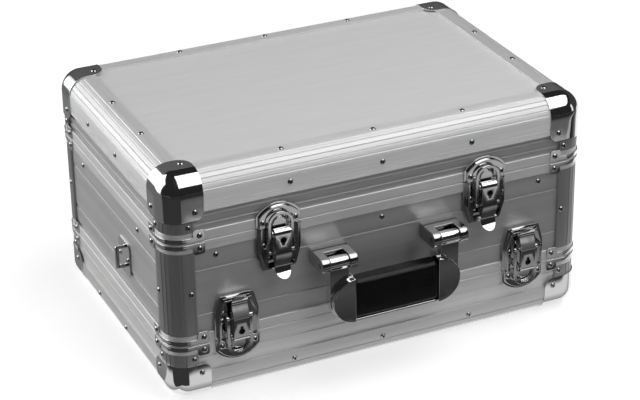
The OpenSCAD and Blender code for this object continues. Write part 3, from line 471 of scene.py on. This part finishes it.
def broken_mandrel(colour):
    # The torn steel end inside a blind rivet: dark and rough.
    material, tree, shader, place = new_material(
        "broken_mandrel", {"Base Color": colour, "Metallic": 0.6, "Roughness": 0.6})
    grit = add_node(tree, "ShaderNodeTexNoise", {"Vector": place, "Scale": 2500.0, "Detail": 2.0})
    bump = add_node(tree, "ShaderNodeBump", {
        "Height": grit.outputs["Fac"], "Strength": 0.6, "Distance": 0.1 * MM})
    tree.links.new(bump.outputs[0], shader.inputs["Normal"])
    return material


def black_grip(colour):
    # ABS, moulded with a fine spark texture: deep black with a soft, slightly broken highlight.
    material, tree, shader, place = new_material(
        "moulded_abs", {"Base Color": colour, "Roughness": 0.32, "Specular IOR Level": 0.3})
    grain = add_node(tree, "ShaderNodeTexNoise", {"Vector": place, "Scale": 1400.0, "Detail": 2.0})
    rubbed = add_node(tree, "ShaderNodeTexNoise", {"Vector": place, "Scale": 45.0, "Detail": 3.0})
    gloss = add_node(tree, "ShaderNodeMapRange", {
        "Value": rubbed.outputs["Fac"], "From Min": 0.35, "From Max": 0.7, "To Min": 0.26,
        "To Max": 0.42})
    bump = add_node(tree, "ShaderNodeBump", {
        "Height": grain.outputs["Fac"], "Strength": 0.25, "Distance": 0.05 * MM})
    tree.links.new(gloss.outputs[0], shader.inputs["Roughness"])
    tree.links.new(bump.outputs[0], shader.inputs["Normal"])
    return material


def cut_foam(settings, dark, light):
    # Polyurethane foam, open-celled and knife-cut: matt charcoal with a fine crumb of cells.
    material, tree, shader, place = new_material(
        "cut_polyurethane_foam", {"Roughness": 0.95, "Specular IOR Level": 0.15})
    cells = add_node(tree, "ShaderNodeTexVoronoi", {"Vector": place, "Scale": 1 / settings.cell})
    crumb = add_node(tree, "ShaderNodeTexNoise", {"Vector": place, "Scale": 2 / settings.cell,
                                                  "Detail": 3.0})
    tone = add_node(tree, "ShaderNodeMix", {
        0: cells.outputs["Distance"], 6: dark, 7: light}, data_type="RGBA")
    height = add_node(tree, "ShaderNodeMath", {
        0: cells.outputs["Distance"], 1: crumb.outputs["Fac"]}, operation="ADD")
    bump = add_node(tree, "ShaderNodeBump", {
        "Height": height.outputs[0], "Strength": 0.8, "Distance": 0.4 * MM})
    tree.links.new(tone.outputs[2], shader.inputs["Base Color"])
    tree.links.new(bump.outputs[0], shader.inputs["Normal"])
    return material


def birch_board(dark, light):
    # Birch plywood, sanded and bare: pale brown with drawn-out grain.
    material, tree, shader, place = new_material("birch_plywood", {"Roughness": 0.6})
    grain_place = along_lines(tree, place, 2.2 * MM, 0, 25.0)[0]
    grain = add_node(tree, "ShaderNodeTexNoise", {"Vector": grain_place, "Scale": 1.0, "Detail": 5.0,
                                                  "Distortion": 0.6})
    tone = add_node(tree, "ShaderNodeMix", {
        0: grain.outputs["Fac"], 6: dark, 7: light}, data_type="RGBA")
    bump = add_node(tree, "ShaderNodeBump", {
        "Height": grain.outputs["Fac"], "Strength": 0.3, "Distance": 0.1 * MM})
    tree.links.new(tone.outputs[2], shader.inputs["Base Color"])
    tree.links.new(bump.outputs[0], shader.inputs["Normal"])
    return material


MADE = {}


def finish(name):
    """The named finish, made once."""
    if name not in MADE:
        settings = bpy.context.scene.case_metal
        colours = bpy.context.scene.case_colour
        makers = {
            # Lighter and darker copies of one anodised extrusion by where it sits: partly painted light on
            # the lid's profiles and painted shade on the posts
            "profile": lambda: anodised_profile(
                settings, "anodised_profile", colours.profile, metallic=0.5),
            "base_profile": lambda: anodised_profile(
                settings, "anodised_base_profile", colours.base_profile),
            "frame": lambda: anodised_profile(
                settings, "anodised_closing_frame", colours.frame, metallic=0.68),
            "post": lambda: anodised_profile(settings, "anodised_post", colours.post, axis=2),
            # The top and base panels are lighter, less metallic copies of the side panels' laminate: partly
            # painted light
            "panel": lambda: brushed_sheet(settings, "brushed_panel", colours.panel, metallic=0.85),
            "base_panel": lambda: brushed_sheet(
                settings, "brushed_base_panel", colours.base_panel, metallic=0.5),
            "top_panel": lambda: papered_sheet(
                settings, "brushed_top_panel", colours.top_panel, colours.paper, 0.25,
                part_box("lid_top_panel")[0].z),
            "chrome": lambda: chrome_plate(settings, "chrome_plate", colours.chrome),
            "bracket": lambda: chrome_plate(settings, "nickel_plated_bracket", colours.bracket),
            "rivet": lambda: rivet_steel(colours.rivet),
            "steel": lambda: zinc_plate(colours.steel_light, colours.steel_dark),
            "lock": lambda: lock_steel_with_painted_shade(colours.lock),
            "mandrel": lambda: broken_mandrel(colours.mandrel),
            "grip": lambda: black_grip(colours.grip),
            "foam": lambda: cut_foam(
                bpy.context.scene.case_foam, colours.foam_dark, colours.foam_light),
            "board": lambda: birch_board(colours.board_dark, colours.board_light),
        }
        MADE[name] = makers[name]()
    return MADE[name]


# Building

def new_piece(name, mesh, body, slot, *finishes):
    """An object from a mesh, with its finishes, riding on a body."""
    piece = bpy.data.objects.new(name, mesh)
    bpy.context.scene.collection.objects.link(piece)
    for one in finishes:
        mesh.materials.append(finish(one))
    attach(piece, body)
    return piece


def mesh_from(bm, name, smooth_below=40.0):
    """The mesh of a bmesh, shaded smooth except at its sharp edges."""
    bmesh.ops.recalc_face_normals(bm, faces=bm.faces)
    for face in bm.faces:
        face.smooth = True
    for edge in bm.edges:
        if len(edge.link_faces) == 2 and edge.calc_face_angle(0) > math.radians(smooth_below):
            edge.smooth = False
    mesh = bpy.data.meshes.new(name)
    bm.to_mesh(mesh)
    bm.free()
    return mesh


def bevel_edges(bm, width, segments=2, sharper_than=40.0):
    """Rounds the sharp edges of a bmesh."""
    sharp = [e for e in bm.edges
             if len(e.link_faces) == 2 and e.calc_face_angle(0) > math.radians(sharper_than)]
    bmesh.ops.bevel(bm, geom=sharp, offset=width, segments=segments, affect="EDGES", profile=0.6,
                    clamp_overlap=True)


def round_edges(piece, width, segments):
    """Rounds the sharp edges of a piece as it is rendered."""
    bevel = piece.modifiers.new("edge", "BEVEL")
    bevel.width = width
    bevel.segments = segments
    bevel.limit_method = "ANGLE"
    bevel.angle_limit = math.radians(35)


def dress_node(name, finish_name, edge=None):
    """Gives a node its finish, and rounds its edges where a width is given."""
    node = nodes[name]
    node.data.materials.clear()
    node.data.materials.append(finish(finish_name))
    if edge:
        weld = node.modifiers.new("weld", "WELD")
        weld.merge_threshold = WELD
        flat = node.modifiers.new("flat", "DECIMATE")
        flat.decimate_type = "DISSOLVE"
        flat.angle_limit = math.radians(0.6)
        round_edges(node, edge, segments=3)


def curled_lever(name, settings):
    """A latch lever whose thumb tab curls away from the case towards its tip."""
    node = nodes[name]
    low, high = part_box(name)
    up = 1 if name.startswith("lower") else -1
    start = (high.z if up > 0 else low.z) - up * settings.tab_length
    bm = bmesh.new()
    bm.from_mesh(node.data)
    bmesh.ops.remove_doubles(bm, verts=bm.verts, dist=WELD)
    bmesh.ops.dissolve_limit(bm, angle_limit=math.radians(0.6), verts=bm.verts, edges=bm.edges)
    for i in range(settings.tab_steps):
        bmesh.ops.bisect_plane(
            bm, geom=bm.verts[:] + bm.edges[:] + bm.faces[:], dist=0.001 * MM,
            plane_co=(0, 0, start + up * settings.tab_length * i / settings.tab_steps),
            plane_no=(0, 0, 1))
    for vert in bm.verts:
        along = max(0.0, up * (vert.co.z - start) / settings.tab_length)
        vert.co.y -= settings.tab_curl * along ** 2
    piece = new_piece(name + "_curled", mesh_from(bm, name), frame_body(name), "chrome", "chrome")
    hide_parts(name)
    round_edges(piece, settings.edge, segments=2)


def corner_spots():
    """The four vertical corners in plan, with the signs that point inward from each."""
    for sx in (-1, 1):
        for sy in (-1, 1):
            yield Vector((PLAN_CENTRE.x + sx * HALF_WIDTH, PLAN_CENTRE.y + sy * HALF_DEPTH, 0)), -sx, -sy


def spread(length, radius, steps):
    """Distances from zero to a length, closer together over the last radius."""
    flat_steps = max(3, round(steps * (length - radius) / length))
    flat = [(length - radius) * i / flat_steps for i in range(flat_steps)]
    round_steps = steps - flat_steps
    return flat + [length - radius + radius * math.sin(math.pi / 2 * i / round_steps)
                   for i in range(round_steps + 1)]


def lobe_width(height, reach, rise, radius):
    """How far a lobe reaches at a height, with its outer corner rounded."""
    over = height - (rise - radius)
    if over <= 0:
        return reach
    return reach - radius + math.sqrt(max(0.0, radius ** 2 - over ** 2))


def rounded(point, radius):
    """A point of a sharp corner at the origin, moved onto the corner's rounded surface."""
    centre = Vector([max(c, radius) for c in point])
    return centre + (Vector(point) - centre).normalized() * radius


def pressed_corner(reach, rise, settings):
    """The surface of one ball corner, its outer faces at zero and its lobes along the axes."""
    bm = bmesh.new()
    level = spread(rise, settings.lobe_radius, settings.steps)
    across = spread(reach, settings.lobe_radius, settings.steps)
    faces = (
        (level, rise, settings.lobe_radius, lambda a, b: (a, 0.0, b)),
        (level, rise, settings.lobe_radius, lambda a, b: (0.0, a, b)),
        (across, reach, settings.top_lobe_radius, lambda a, b: (a, b, 0.0)),
    )
    for rows, extent, radius, place in faces:
        grid = []
        for row in rows:
            width = lobe_width(row, reach, extent, radius)
            grid.append([bm.verts.new(rounded(place(a / reach * width, row), settings.edge_radius))
                         for a in across])
        for low, high in zip(grid, grid[1:]):
            for i in range(len(low) - 1):
                bm.faces.new((low[i], low[i + 1], high[i + 1], high[i]))
    bmesh.ops.remove_doubles(bm, verts=bm.verts, dist=0.01 * MM)
    bmesh.ops.dissolve_degenerate(bm, edges=bm.edges, dist=0.01 * MM)
    return bm


def ball_corners(name, node, top, settings):
    """The four ball corners of the lid or the base as pressed shells with rolled rims."""
    low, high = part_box(node)
    reach = 42.2 * MM
    thickness = 1.15 * MM
    proud = 1.2 * MM
    rim = 0.4 * MM
    rise = high.z - low.z
    whole = bmesh.new()
    for spot, sx, sy in corner_spots():
        bm = pressed_corner(reach, rise, settings)
        bmesh.ops.recalc_face_normals(bm, faces=bm.faces)
        bmesh.ops.solidify(bm, geom=bm.faces[:] + bm.edges[:] + bm.verts[:], thickness=thickness)
        bevel_edges(bm, rim, 2, 50.0)
        outer = Vector((spot.x - sx * proud, spot.y - sy * proud, high.z if top else low.z))
        turn = Matrix.Diagonal((sx, sy, -1 if top else 1, 1))
        bm.transform(Matrix.Translation(outer) @ turn)
        mesh = mesh_from(bm, "corner")
        whole.from_mesh(mesh)
        bpy.data.meshes.remove(mesh)
    piece = new_piece(name, mesh_from(whole, name), frame_body(node), "chrome", "chrome")
    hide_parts(node)


def frame_body(node):
    """The body that a node rides on."""
    return nodes[node]["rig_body"]


def lathe(bm, profile, segments, matrix, materials):
    """Adds a surface turned round Z from (radius, height) points; materials gives each band's slot."""
    rings = []
    for radius, height in profile:
        if radius == 0:
            rings.append([bm.verts.new(matrix @ Vector((0, 0, height)))])
            continue
        rings.append([
            bm.verts.new(matrix @ Vector((radius * math.cos(a), radius * math.sin(a), height)))
            for a in (2 * math.pi * i / segments for i in range(segments))])
    for k, (low, high) in enumerate(zip(rings, rings[1:])):
        for i in range(segments):
            j = (i + 1) % segments
            if len(low) == 1:
                face = bm.faces.new((low[0], high[i], high[j]))
            elif len(high) == 1:
                face = bm.faces.new((low[i], low[j], high[0]))
            else:
                face = bm.faces.new((low[i], low[j], high[j], high[i]))
            face.material_index = materials[k]


def islands(mesh):
    """The corner boxes of a mesh's separate solids."""
    bm = bmesh.new()
    bm.from_mesh(mesh)
    bmesh.ops.remove_doubles(bm, verts=bm.verts, dist=0.005 * MM)
    seen = set()
    for start in bm.verts:
        if start in seen:
            continue
        stack, members = [start], []
        seen.add(start)
        while stack:
            vert = stack.pop()
            members.append(vert.co.copy())
            for edge in vert.link_edges:
                other = edge.other_vert(vert)
                if other not in seen:
                    seen.add(other)
                    stack.append(other)
        yield (Vector([min(p[i] for p in members) for i in range(3)]),
               Vector([max(p[i] for p in members) for i in range(3)]))
    bm.free()


def rivets(name, node, settings):
    """Blind rivets at every head of a node: a sloping shoulder, a dark recess and a broken mandrel."""
    middle = PLAN_CENTRE + Vector((0, 0, nodes_top() / 2))
    bm = bmesh.new()
    r = settings.head_radius
    hole = settings.recess_radius
    steep, easy = settings.steep_slope, settings.easy_slope
    slopes = [steep + (easy - steep) * i / settings.shoulder_rings
              for i in range(settings.shoulder_rings + 1)]
    for low, high in islands(nodes[node].data):
        size = high - low
        axis = min(range(3), key=lambda i: size[i])
        height = size[axis]
        centre = (low + high) / 2
        sign = 1 if centre[axis] > middle[axis] else -1
        foot = centre.copy()
        foot[axis] -= sign * height / 2
        direction = Vector((0, 0, 0))
        direction[axis] = sign
        matrix = Matrix.Translation(foot) @ direction.to_track_quat("Z", "Y").to_matrix().to_4x4()
        depth = settings.recess_depth * height / FULL_HEAD
        foot_height = FOOT_HEIGHT * height
        turn = SHOULDER_HEIGHT * height / (math.cos(easy) - math.cos(steep))
        profile = [(r, 0)] + [(r - turn * (math.sin(steep) - math.sin(a)),
                               foot_height + turn * (math.cos(a) - math.cos(steep))) for a in slopes]
        profile += [(CREST_WIDTH * hole, height), (hole, MOUTH_HEIGHT * height)]
        profile += [(hole * FLOOR_WIDTH, height - depth), (hole * MANDREL_WIDTH, height - depth),
                    (hole * MANDREL_END_WIDTH, height - MANDREL_END_DEPTH * depth),
                    (0, height - MANDREL_TIP_DEPTH * depth)]
        lathe(bm, profile, settings.segments, matrix, [0] * (len(profile) - 4) + [1] * 3)
    piece = new_piece(name, mesh_from(bm, name, 55.0), frame_body(node), "steel", "rivet", "mandrel")
    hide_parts(node)


def nodes_top():
    """Height of the case's top panel."""
    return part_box("lid_top_panel")[1].z


def softened_foam(name, node, settings):
    """A foam piece from its solid, with soft cut edges and faces that wave a little."""
    mesh = nodes[node].data.copy()
    mesh.name = name
    piece = new_piece(name, mesh, frame_body(node), "foam")
    mesh.materials.clear()
    mesh.materials.append(finish("foam"))
    weld = piece.modifiers.new("weld", "WELD")
    weld.merge_threshold = 0.005 * MM
    remesh = piece.modifiers.new("remesh", "REMESH")
    remesh.mode = "VOXEL"
    remesh.voxel_size = settings.voxel
    smooth = piece.modifiers.new("smooth", "SMOOTH")
    smooth.iterations = 3
    smooth.factor = 0.5
    apply_modifiers(piece)
    waves_per_metre = 60
    outward = [vert.normal.copy() for vert in piece.data.vertices]
    for vert, normal in zip(piece.data.vertices, outward):
        vert.co += normal * settings.cut_wave * (noise.noise(vert.co * waves_per_metre) - 1)
    for polygon in piece.data.polygons:
        polygon.use_smooth = True
    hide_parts(node)


def apply_modifiers(piece):
    """Bakes a piece's modifiers into its mesh."""
    graph = bpy.context.evaluated_depsgraph_get()
    graph.update()
    made = bpy.data.meshes.new_from_object(piece.evaluated_get(graph))
    old = piece.data
    piece.modifiers.clear()
    piece.data = made
    bpy.data.meshes.remove(old)


def moulded_grip(settings):
    """The grip as one moulding: a rounded section with soft ends, slightly fuller in the middle."""
    low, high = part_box("handle_grip")
    centre = (low + high) / 2
    half = (high - low) / 2
    bm = bmesh.new()
    rows = 28
    around = 48
    crown = 0.6 * MM
    power = 2 / 2.2
    flat_blend = 3
    rings = []
    for i in range(rows + 1):
        t = -math.cos(math.pi * i / rows)
        x = half.x * t
        from_end = half.x - abs(x)
        draw_in = 0.0
        if from_end < settings.end_radius:
            lift = settings.end_radius - from_end
            draw_in = settings.end_radius - math.sqrt(max(0.0, settings.end_radius ** 2 - lift ** 2))
        fuller = crown * (1 - t * t) - crown
        rings.append([])
        for k in range(around):
            a = 2 * math.pi * k / around
            y = half.y + fuller - draw_in
            z = half.z - draw_in
            r = settings.edge_radius
            cx, cz = math.cos(a), math.sin(a)
            corner = Vector((math.copysign(y - r, cx), math.copysign(z - r, cz)))
            rings[-1].append(bm.verts.new(centre + Vector((
                x,
                corner.x * min(1, abs(cx) * flat_blend) + r * math.copysign(abs(cx) ** power, cx),
                corner.y * min(1, abs(cz) * flat_blend) + r * math.copysign(abs(cz) ** power, cz)))))
    for low_ring, high_ring in zip(rings, rings[1:]):
        for k in range(around):
            j = (k + 1) % around
            bm.faces.new((low_ring[k], low_ring[j], high_ring[j], high_ring[k]))
    bm.faces.new(rings[0])
    bm.faces.new(reversed(rings[-1]))
    piece = new_piece("moulded_grip", mesh_from(bm, "moulded_grip"), "handle", "grip", "grip")
    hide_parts("handle_grip")


# Stage

def softbox(name, at, size, level, aim):
    """A rectangular light that faces a point and isn't seen itself."""
    light = bpy.data.lights.new(name, "AREA")
    light.shape = "RECTANGLE"
    light.size, light.size_y = size
    light.energy = level * math.pi * size[0] * size[1]
    lamp = bpy.data.objects.new(name, light)
    bpy.context.scene.collection.objects.link(lamp)
    lamp.location = at
    lamp.rotation_euler = (Vector(aim) - Vector(at)).to_track_quat("-Z", "Y").to_euler()
    lamp.visible_camera = False


def plain_sheet(name, corners):
    """A flat four-cornered sheet of the stage."""
    mesh = bpy.data.meshes.new(name)
    mesh.from_pydata([tuple(c) for c in corners], [], [(0, 1, 2, 3)])
    sheet = bpy.data.objects.new(name, mesh)
    bpy.context.scene.collection.objects.link(sheet)
    return sheet


def reflection_card(name, rows):
    """A grey card that glows at its own levels and that only mirrors see: a painted reflection that gives the
    metal its contrast and lights and shadows nothing.

    Each row is a level of grey and the points that it runs through; the card fades from row to row.
    """
    points = [point for level, line in rows for point in line]
    count = len(rows[0][1])
    faces = [(k * count + i, k * count + i + 1, (k + 1) * count + i + 1, (k + 1) * count + i)
             for k in range(len(rows) - 1) for i in range(count - 1)]
    mesh = bpy.data.meshes.new(name)
    mesh.from_pydata(points, [], faces)
    grey = mesh.attributes.new("grey", "FLOAT", "POINT")
    grey.data.foreach_set("value", [level for level, line in rows for point in line])
    card = bpy.data.objects.new(name, mesh)
    bpy.context.scene.collection.objects.link(card)
    material = bpy.data.materials.new(name)
    material.use_nodes = True
    tree = material.node_tree
    tree.nodes.clear()
    shade = add_node(tree, "ShaderNodeAttribute", attribute_name="grey")
    glow = add_node(tree, "ShaderNodeEmission", {"Color": shade.outputs["Color"], "Strength": 1.0})
    add_node(tree, "ShaderNodeOutputMaterial", {"Surface": glow.outputs[0]})
    mesh.materials.append(material)
    # Only glossy rays see the card, so it is a painted reflection, not a lamp or a real card
    card.visible_camera = False
    card.visible_diffuse = False
    card.visible_shadow = False
    card.visible_transmission = False
    card.visible_volume_scatter = False


def where_seen(tree):
    """One where the camera, a mirror or glass looks, and zero where only light falls."""
    path = add_node(tree, "ShaderNodeLightPath")
    seen = add_node(tree, "ShaderNodeMath", {
        0: path.outputs["Is Camera Ray"], 1: path.outputs["Is Glossy Ray"]}, operation="MAXIMUM")
    return add_node(tree, "ShaderNodeMath", {
        0: seen.outputs[0], 1: path.outputs["Is Transmission Ray"]}, operation="MAXIMUM").outputs[0]


def white_floor(colour):
    """A pale floor that reads as white and keeps the case's shadow."""
    reach = 6.0
    own_light = 0.42
    floor = plain_sheet("floor", [(-reach, -reach, 0), (reach, -reach, 0), (reach, reach, 0),
                                  (-reach, reach, 0)])
    material, tree, shader = new_material("white_paper", {
        "Base Color": colour, "Roughness": 0.9, "Specular IOR Level": 0.1})[:3]
    lift = add_node(tree, "ShaderNodeMath", {0: where_seen(tree), 1: own_light}, operation="MULTIPLY")
    shader.inputs["Emission Color"].default_value = (1, 1, 1, 1)
    tree.links.new(lift.outputs[0], shader.inputs["Emission Strength"])
    floor.data.materials.append(material)


def studio_world(level):
    """Even light from all round, and white where it is seen."""
    world = bpy.data.worlds.new("studio")
    bpy.context.scene.world = world
    world.use_nodes = True
    tree = world.node_tree
    tree.nodes.clear()
    strength = add_node(tree, "ShaderNodeMapRange", {
        "Value": where_seen(tree), "To Min": level, "To Max": 1.0})
    back = add_node(tree, "ShaderNodeBackground", {
        "Color": (1, 1, 1, 1), "Strength": strength.outputs[0]})
    add_node(tree, "ShaderNodeOutputWorld", {"Surface": back.outputs[0]})


def camera(lens):
    """The camera where the photograph was taken from."""
    data = bpy.data.cameras.new("camera")
    data.lens = lens
    data.sensor_width = 36.0
    data.clip_start, data.clip_end = 0.1, 50.0
    eye = bpy.data.objects.new("camera", data)
    bpy.context.scene.collection.objects.link(eye)
    right = CAMERA_RIGHT.normalized()
    forward = CAMERA_FORWARD.normalized()
    up = right.cross(forward)
    eye.matrix_world = Matrix.Translation(CAMERA_PLACE + PLAN_CENTRE) @ Matrix((
        (right.x, up.x, -forward.x, 0), (right.y, up.y, -forward.y, 0),
        (right.z, up.z, -forward.z, 0), (0, 0, 0, 1)))
    bpy.context.scene.camera = eye


class CASE_OT_stage(bpy.types.Operator):
    """Adds the floor, the lights and the camera"""

    bl_idname = "case.stage"
    bl_label = "Stage"

    def execute(self, context):
        settings = context.scene.case_stage
        context.scene.view_settings.view_transform = "Standard"
        camera(settings.lens)
        studio_world(settings.sky_level)
        white_floor(context.scene.case_colour.floor)
        level = settings.softbox_level
        left_share = 0.85
        softbox("ceiling_softbox", at=(0.62, -0.95, 1.6), size=(1.55, 2.2), level=level,
                aim=(0.62, -0.95, 0))
        softbox("left_softbox", at=(-1.43, 0.92, 0.92), size=(1.9, 1.7), level=left_share * level,
                aim=(-0.2, -0.1, 0.2))
        # Grey cards that only mirrors see: painted reflections, dark round the studio and in grey bands over
        # the floor, that light and shadow nothing
        far, high = 3.2, 1.75
        front, rear, left, right = -2.4, 2.2, -2.6, 2.4
        rear_start, right_start, left_end = -0.9, -1.2, 0.2
        reflection_card("ceiling_reflection_card", [(0.02, [(-far, front, high), (far, front, high)]),
                              (0.02, [(-far, far, high), (far, far, high)])])
        reflection_card("rear_reflection_card", [(0.05, [(rear_start, rear, 0), (far, rear, 0)]),
                           (0.14, [(rear_start, rear, high), (far, rear, high)])])
        reflection_card("right_reflection_card", [(0.05, [(right, right_start, 0), (right, rear, 0)]),
                            (0.05, [(right, right_start, high), (right, rear, high)])])
        reflection_card("front_reflection_card", [
            (0.02, [(left, left_end, 0), (left, front, 0), (far, front, 0)]),
            (0.02, [(left, left_end, high), (left, front, high), (far, front, high)])])
        # Bands of painted reflection laid just over the floor, seen only in the metal
        foot_front, foot_left, foot_rear, card = -0.143, -0.23, -0.10, 0.003
        reflection_card("floor_reflection_card", [
            (grey, [(far, foot_front - out, card), (foot_left - out, foot_front - out, card),
                    (foot_left - out, foot_rear, card)])
            for grey, out in FLOOR_REFLECTION_BANDS])
        reflection_card("left_floor_reflection_card", [
            (grey, [(-out, foot_rear, card), (-out, rear, card)]) for grey, out in LEFT_REFLECTION_BANDS])
        # A painted dark reflection fanning out from the case's front-left foot
        upper_card = 0.006
        near_corner = [(-0.236, -0.140, upper_card), (-0.232, -0.157, upper_card),
                       (-0.212, -0.160, upper_card)]
        far_corner = [(-2.4, -0.1, upper_card), (-2.4, -2.3, upper_card), (-0.1, -2.3, upper_card)]
        reflection_card("corner_reflection_card", [(0.04, near_corner), (0.02, far_corner)])
        return {"FINISHED"}


class CASE_OT_profiles(bpy.types.Operator):
    """Finishes the extruded profiles, posts and closing frames"""

    bl_idname = "case.profiles"
    bl_label = "Profiles"

    def execute(self, context):
        settings = context.scene.case_metal
        for name in nodes:
            if name.endswith("edge_profiles"):
                dress_node(name, "base_profile" if name.startswith("base") else "profile")
            if name.endswith("closing_frame"):
                dress_node(name, "frame", settings.frame_edge)
            if name.endswith("corner_posts"):
                dress_node(name, "post")
        return {"FINISHED"}


class CASE_OT_panels(bpy.types.Operator):
    """Finishes the panels and the floor board"""

    bl_idname = "case.panels"
    bl_label = "Panels"

    def execute(self, context):
        for name in nodes:
            if name.endswith("side_panels") or name == "base_bottom_panel":
                dress_node(name, "base_panel" if name.startswith("base") else "panel")
        dress_node("lid_top_panel", "top_panel")
        dress_node("body_floor_board", "board")
        return {"FINISHED"}


class CASE_OT_corners(bpy.types.Operator):
    """Adds the pressed ball corners and finishes the corner braces"""

    bl_idname = "case.corners"
    bl_label = "Corners"

    def execute(self, context):
        settings = context.scene.case_corner
        ball_corners("lid_pressed_corners", "lid_ball_corners", True, settings)
        ball_corners("base_pressed_corners", "base_ball_corners", False, settings)
        for name in ("base_corner_braces", "body_lower_braces", "body_upper_braces", "lid_corner_braces"):
            dress_node(name, "chrome", BRACE_EDGE)
        return {"FINISHED"}


class CASE_OT_rivets(bpy.types.Operator):
    """Adds the blind rivets"""

    bl_idname = "case.rivets"
    bl_label = "Rivets"

    def execute(self, context):
        for part in ("base", "body", "lid"):
            rivets(part + "_blind_rivets", part + "_rivets", context.scene.case_rivet)
        return {"FINISHED"}


class CASE_OT_latches(bpy.types.Operator):
    """Finishes the draw latches and their locks"""

    bl_idname = "case.latches"
    bl_label = "Latches"

    def execute(self, context):
        settings = context.scene.case_latch
        for name in nodes:
            if name.endswith("lever"):
                curled_lever(name, settings)
            if name.endswith(("bail", "keepers", "latch_plates")):
                dress_node(name, "chrome", settings.edge)
            if name.endswith("pivot_pins"):
                dress_node(name, "steel", LATCH_PIN_EDGE)
            if name.endswith("lock_barrel"):
                dress_node(name, "lock", LATCH_PIN_EDGE)
        return {"FINISHED"}


class CASE_OT_handle(bpy.types.Operator):
    """Adds the moulded grip and finishes the handle's chrome"""

    bl_idname = "case.handle"
    bl_label = "Handle"

    def execute(self, context):
        moulded_grip(context.scene.case_handle)
        dress_node("handle_frame", "chrome", HANDLE_EDGE)
        dress_node("handle_brackets", "bracket", BRACKET_EDGE)
        dress_node("handle_hinge_pins", "steel", HANDLE_PIN_EDGE)
        return {"FINISHED"}


class CASE_OT_hinges(bpy.types.Operator):
    """Finishes the hinges and the strap fittings"""

    bl_idname = "case.hinges"
    bl_label = "Hinges"

    def execute(self, context):
        for name in nodes:
            if "hinge" in name and not name.startswith("handle"):
                dress_node(name, "steel", HINGE_EDGE)
        dress_node("side_strap_loops", "chrome", STRAP_EDGE)
        return {"FINISHED"}


class CASE_OT_foams(bpy.types.Operator):
    """Adds the foams and the lining"""

    bl_idname = "case.foams"
    bl_label = "Foams"

    def execute(self, context):
        settings = context.scene.case_foam
        softened_foam("microphone_foam_block", "microphone_foam", settings)
        softened_foam("lid_foam_pad", "lid_foam", settings)
        softened_foam("base_felt_lining", "base_lining", settings)
        return {"FINISHED"}


OPERATORS = (CASE_OT_stage, CASE_OT_profiles, CASE_OT_panels, CASE_OT_corners, CASE_OT_rivets,
             CASE_OT_latches, CASE_OT_handle, CASE_OT_hinges, CASE_OT_foams)


class CASE_PT_sidebar(bpy.types.Panel):
    """The case's sizes, colours and pieces"""

    bl_idname = "CASE_PT_sidebar"
    bl_label = "Microphone case"
    bl_space_type = "VIEW_3D"
    bl_region_type = "UI"
    bl_category = "Case"

    def draw(self, context):
        for key, group in SETTING_GROUPS.items():
            box = self.layout.box()
            for name in group.__annotations__:
                box.prop(getattr(context.scene, key), name)
        for operator in OPERATORS:
            self.layout.operator(operator.bl_idname)


def register():
    for group in SETTING_GROUPS.values():
        bpy.utils.register_class(group)
    for key, group in SETTING_GROUPS.items():
        setattr(bpy.types.Scene, key, bpy.props.PointerProperty(type=group))
    for one in OPERATORS + (CASE_PT_sidebar,):
        bpy.utils.register_class(one)


def unregister():
    for one in reversed(OPERATORS + (CASE_PT_sidebar,)):
        bpy.utils.unregister_class(one)
    for key, group in SETTING_GROUPS.items():
        delattr(bpy.types.Scene, key)
        bpy.utils.unregister_class(group)


def main():
    register()
    for operator in OPERATORS:
        group, name = operator.bl_idname.split(".")
        getattr(getattr(bpy.ops, group), name)()


if __name__ == "__main__":
    main()
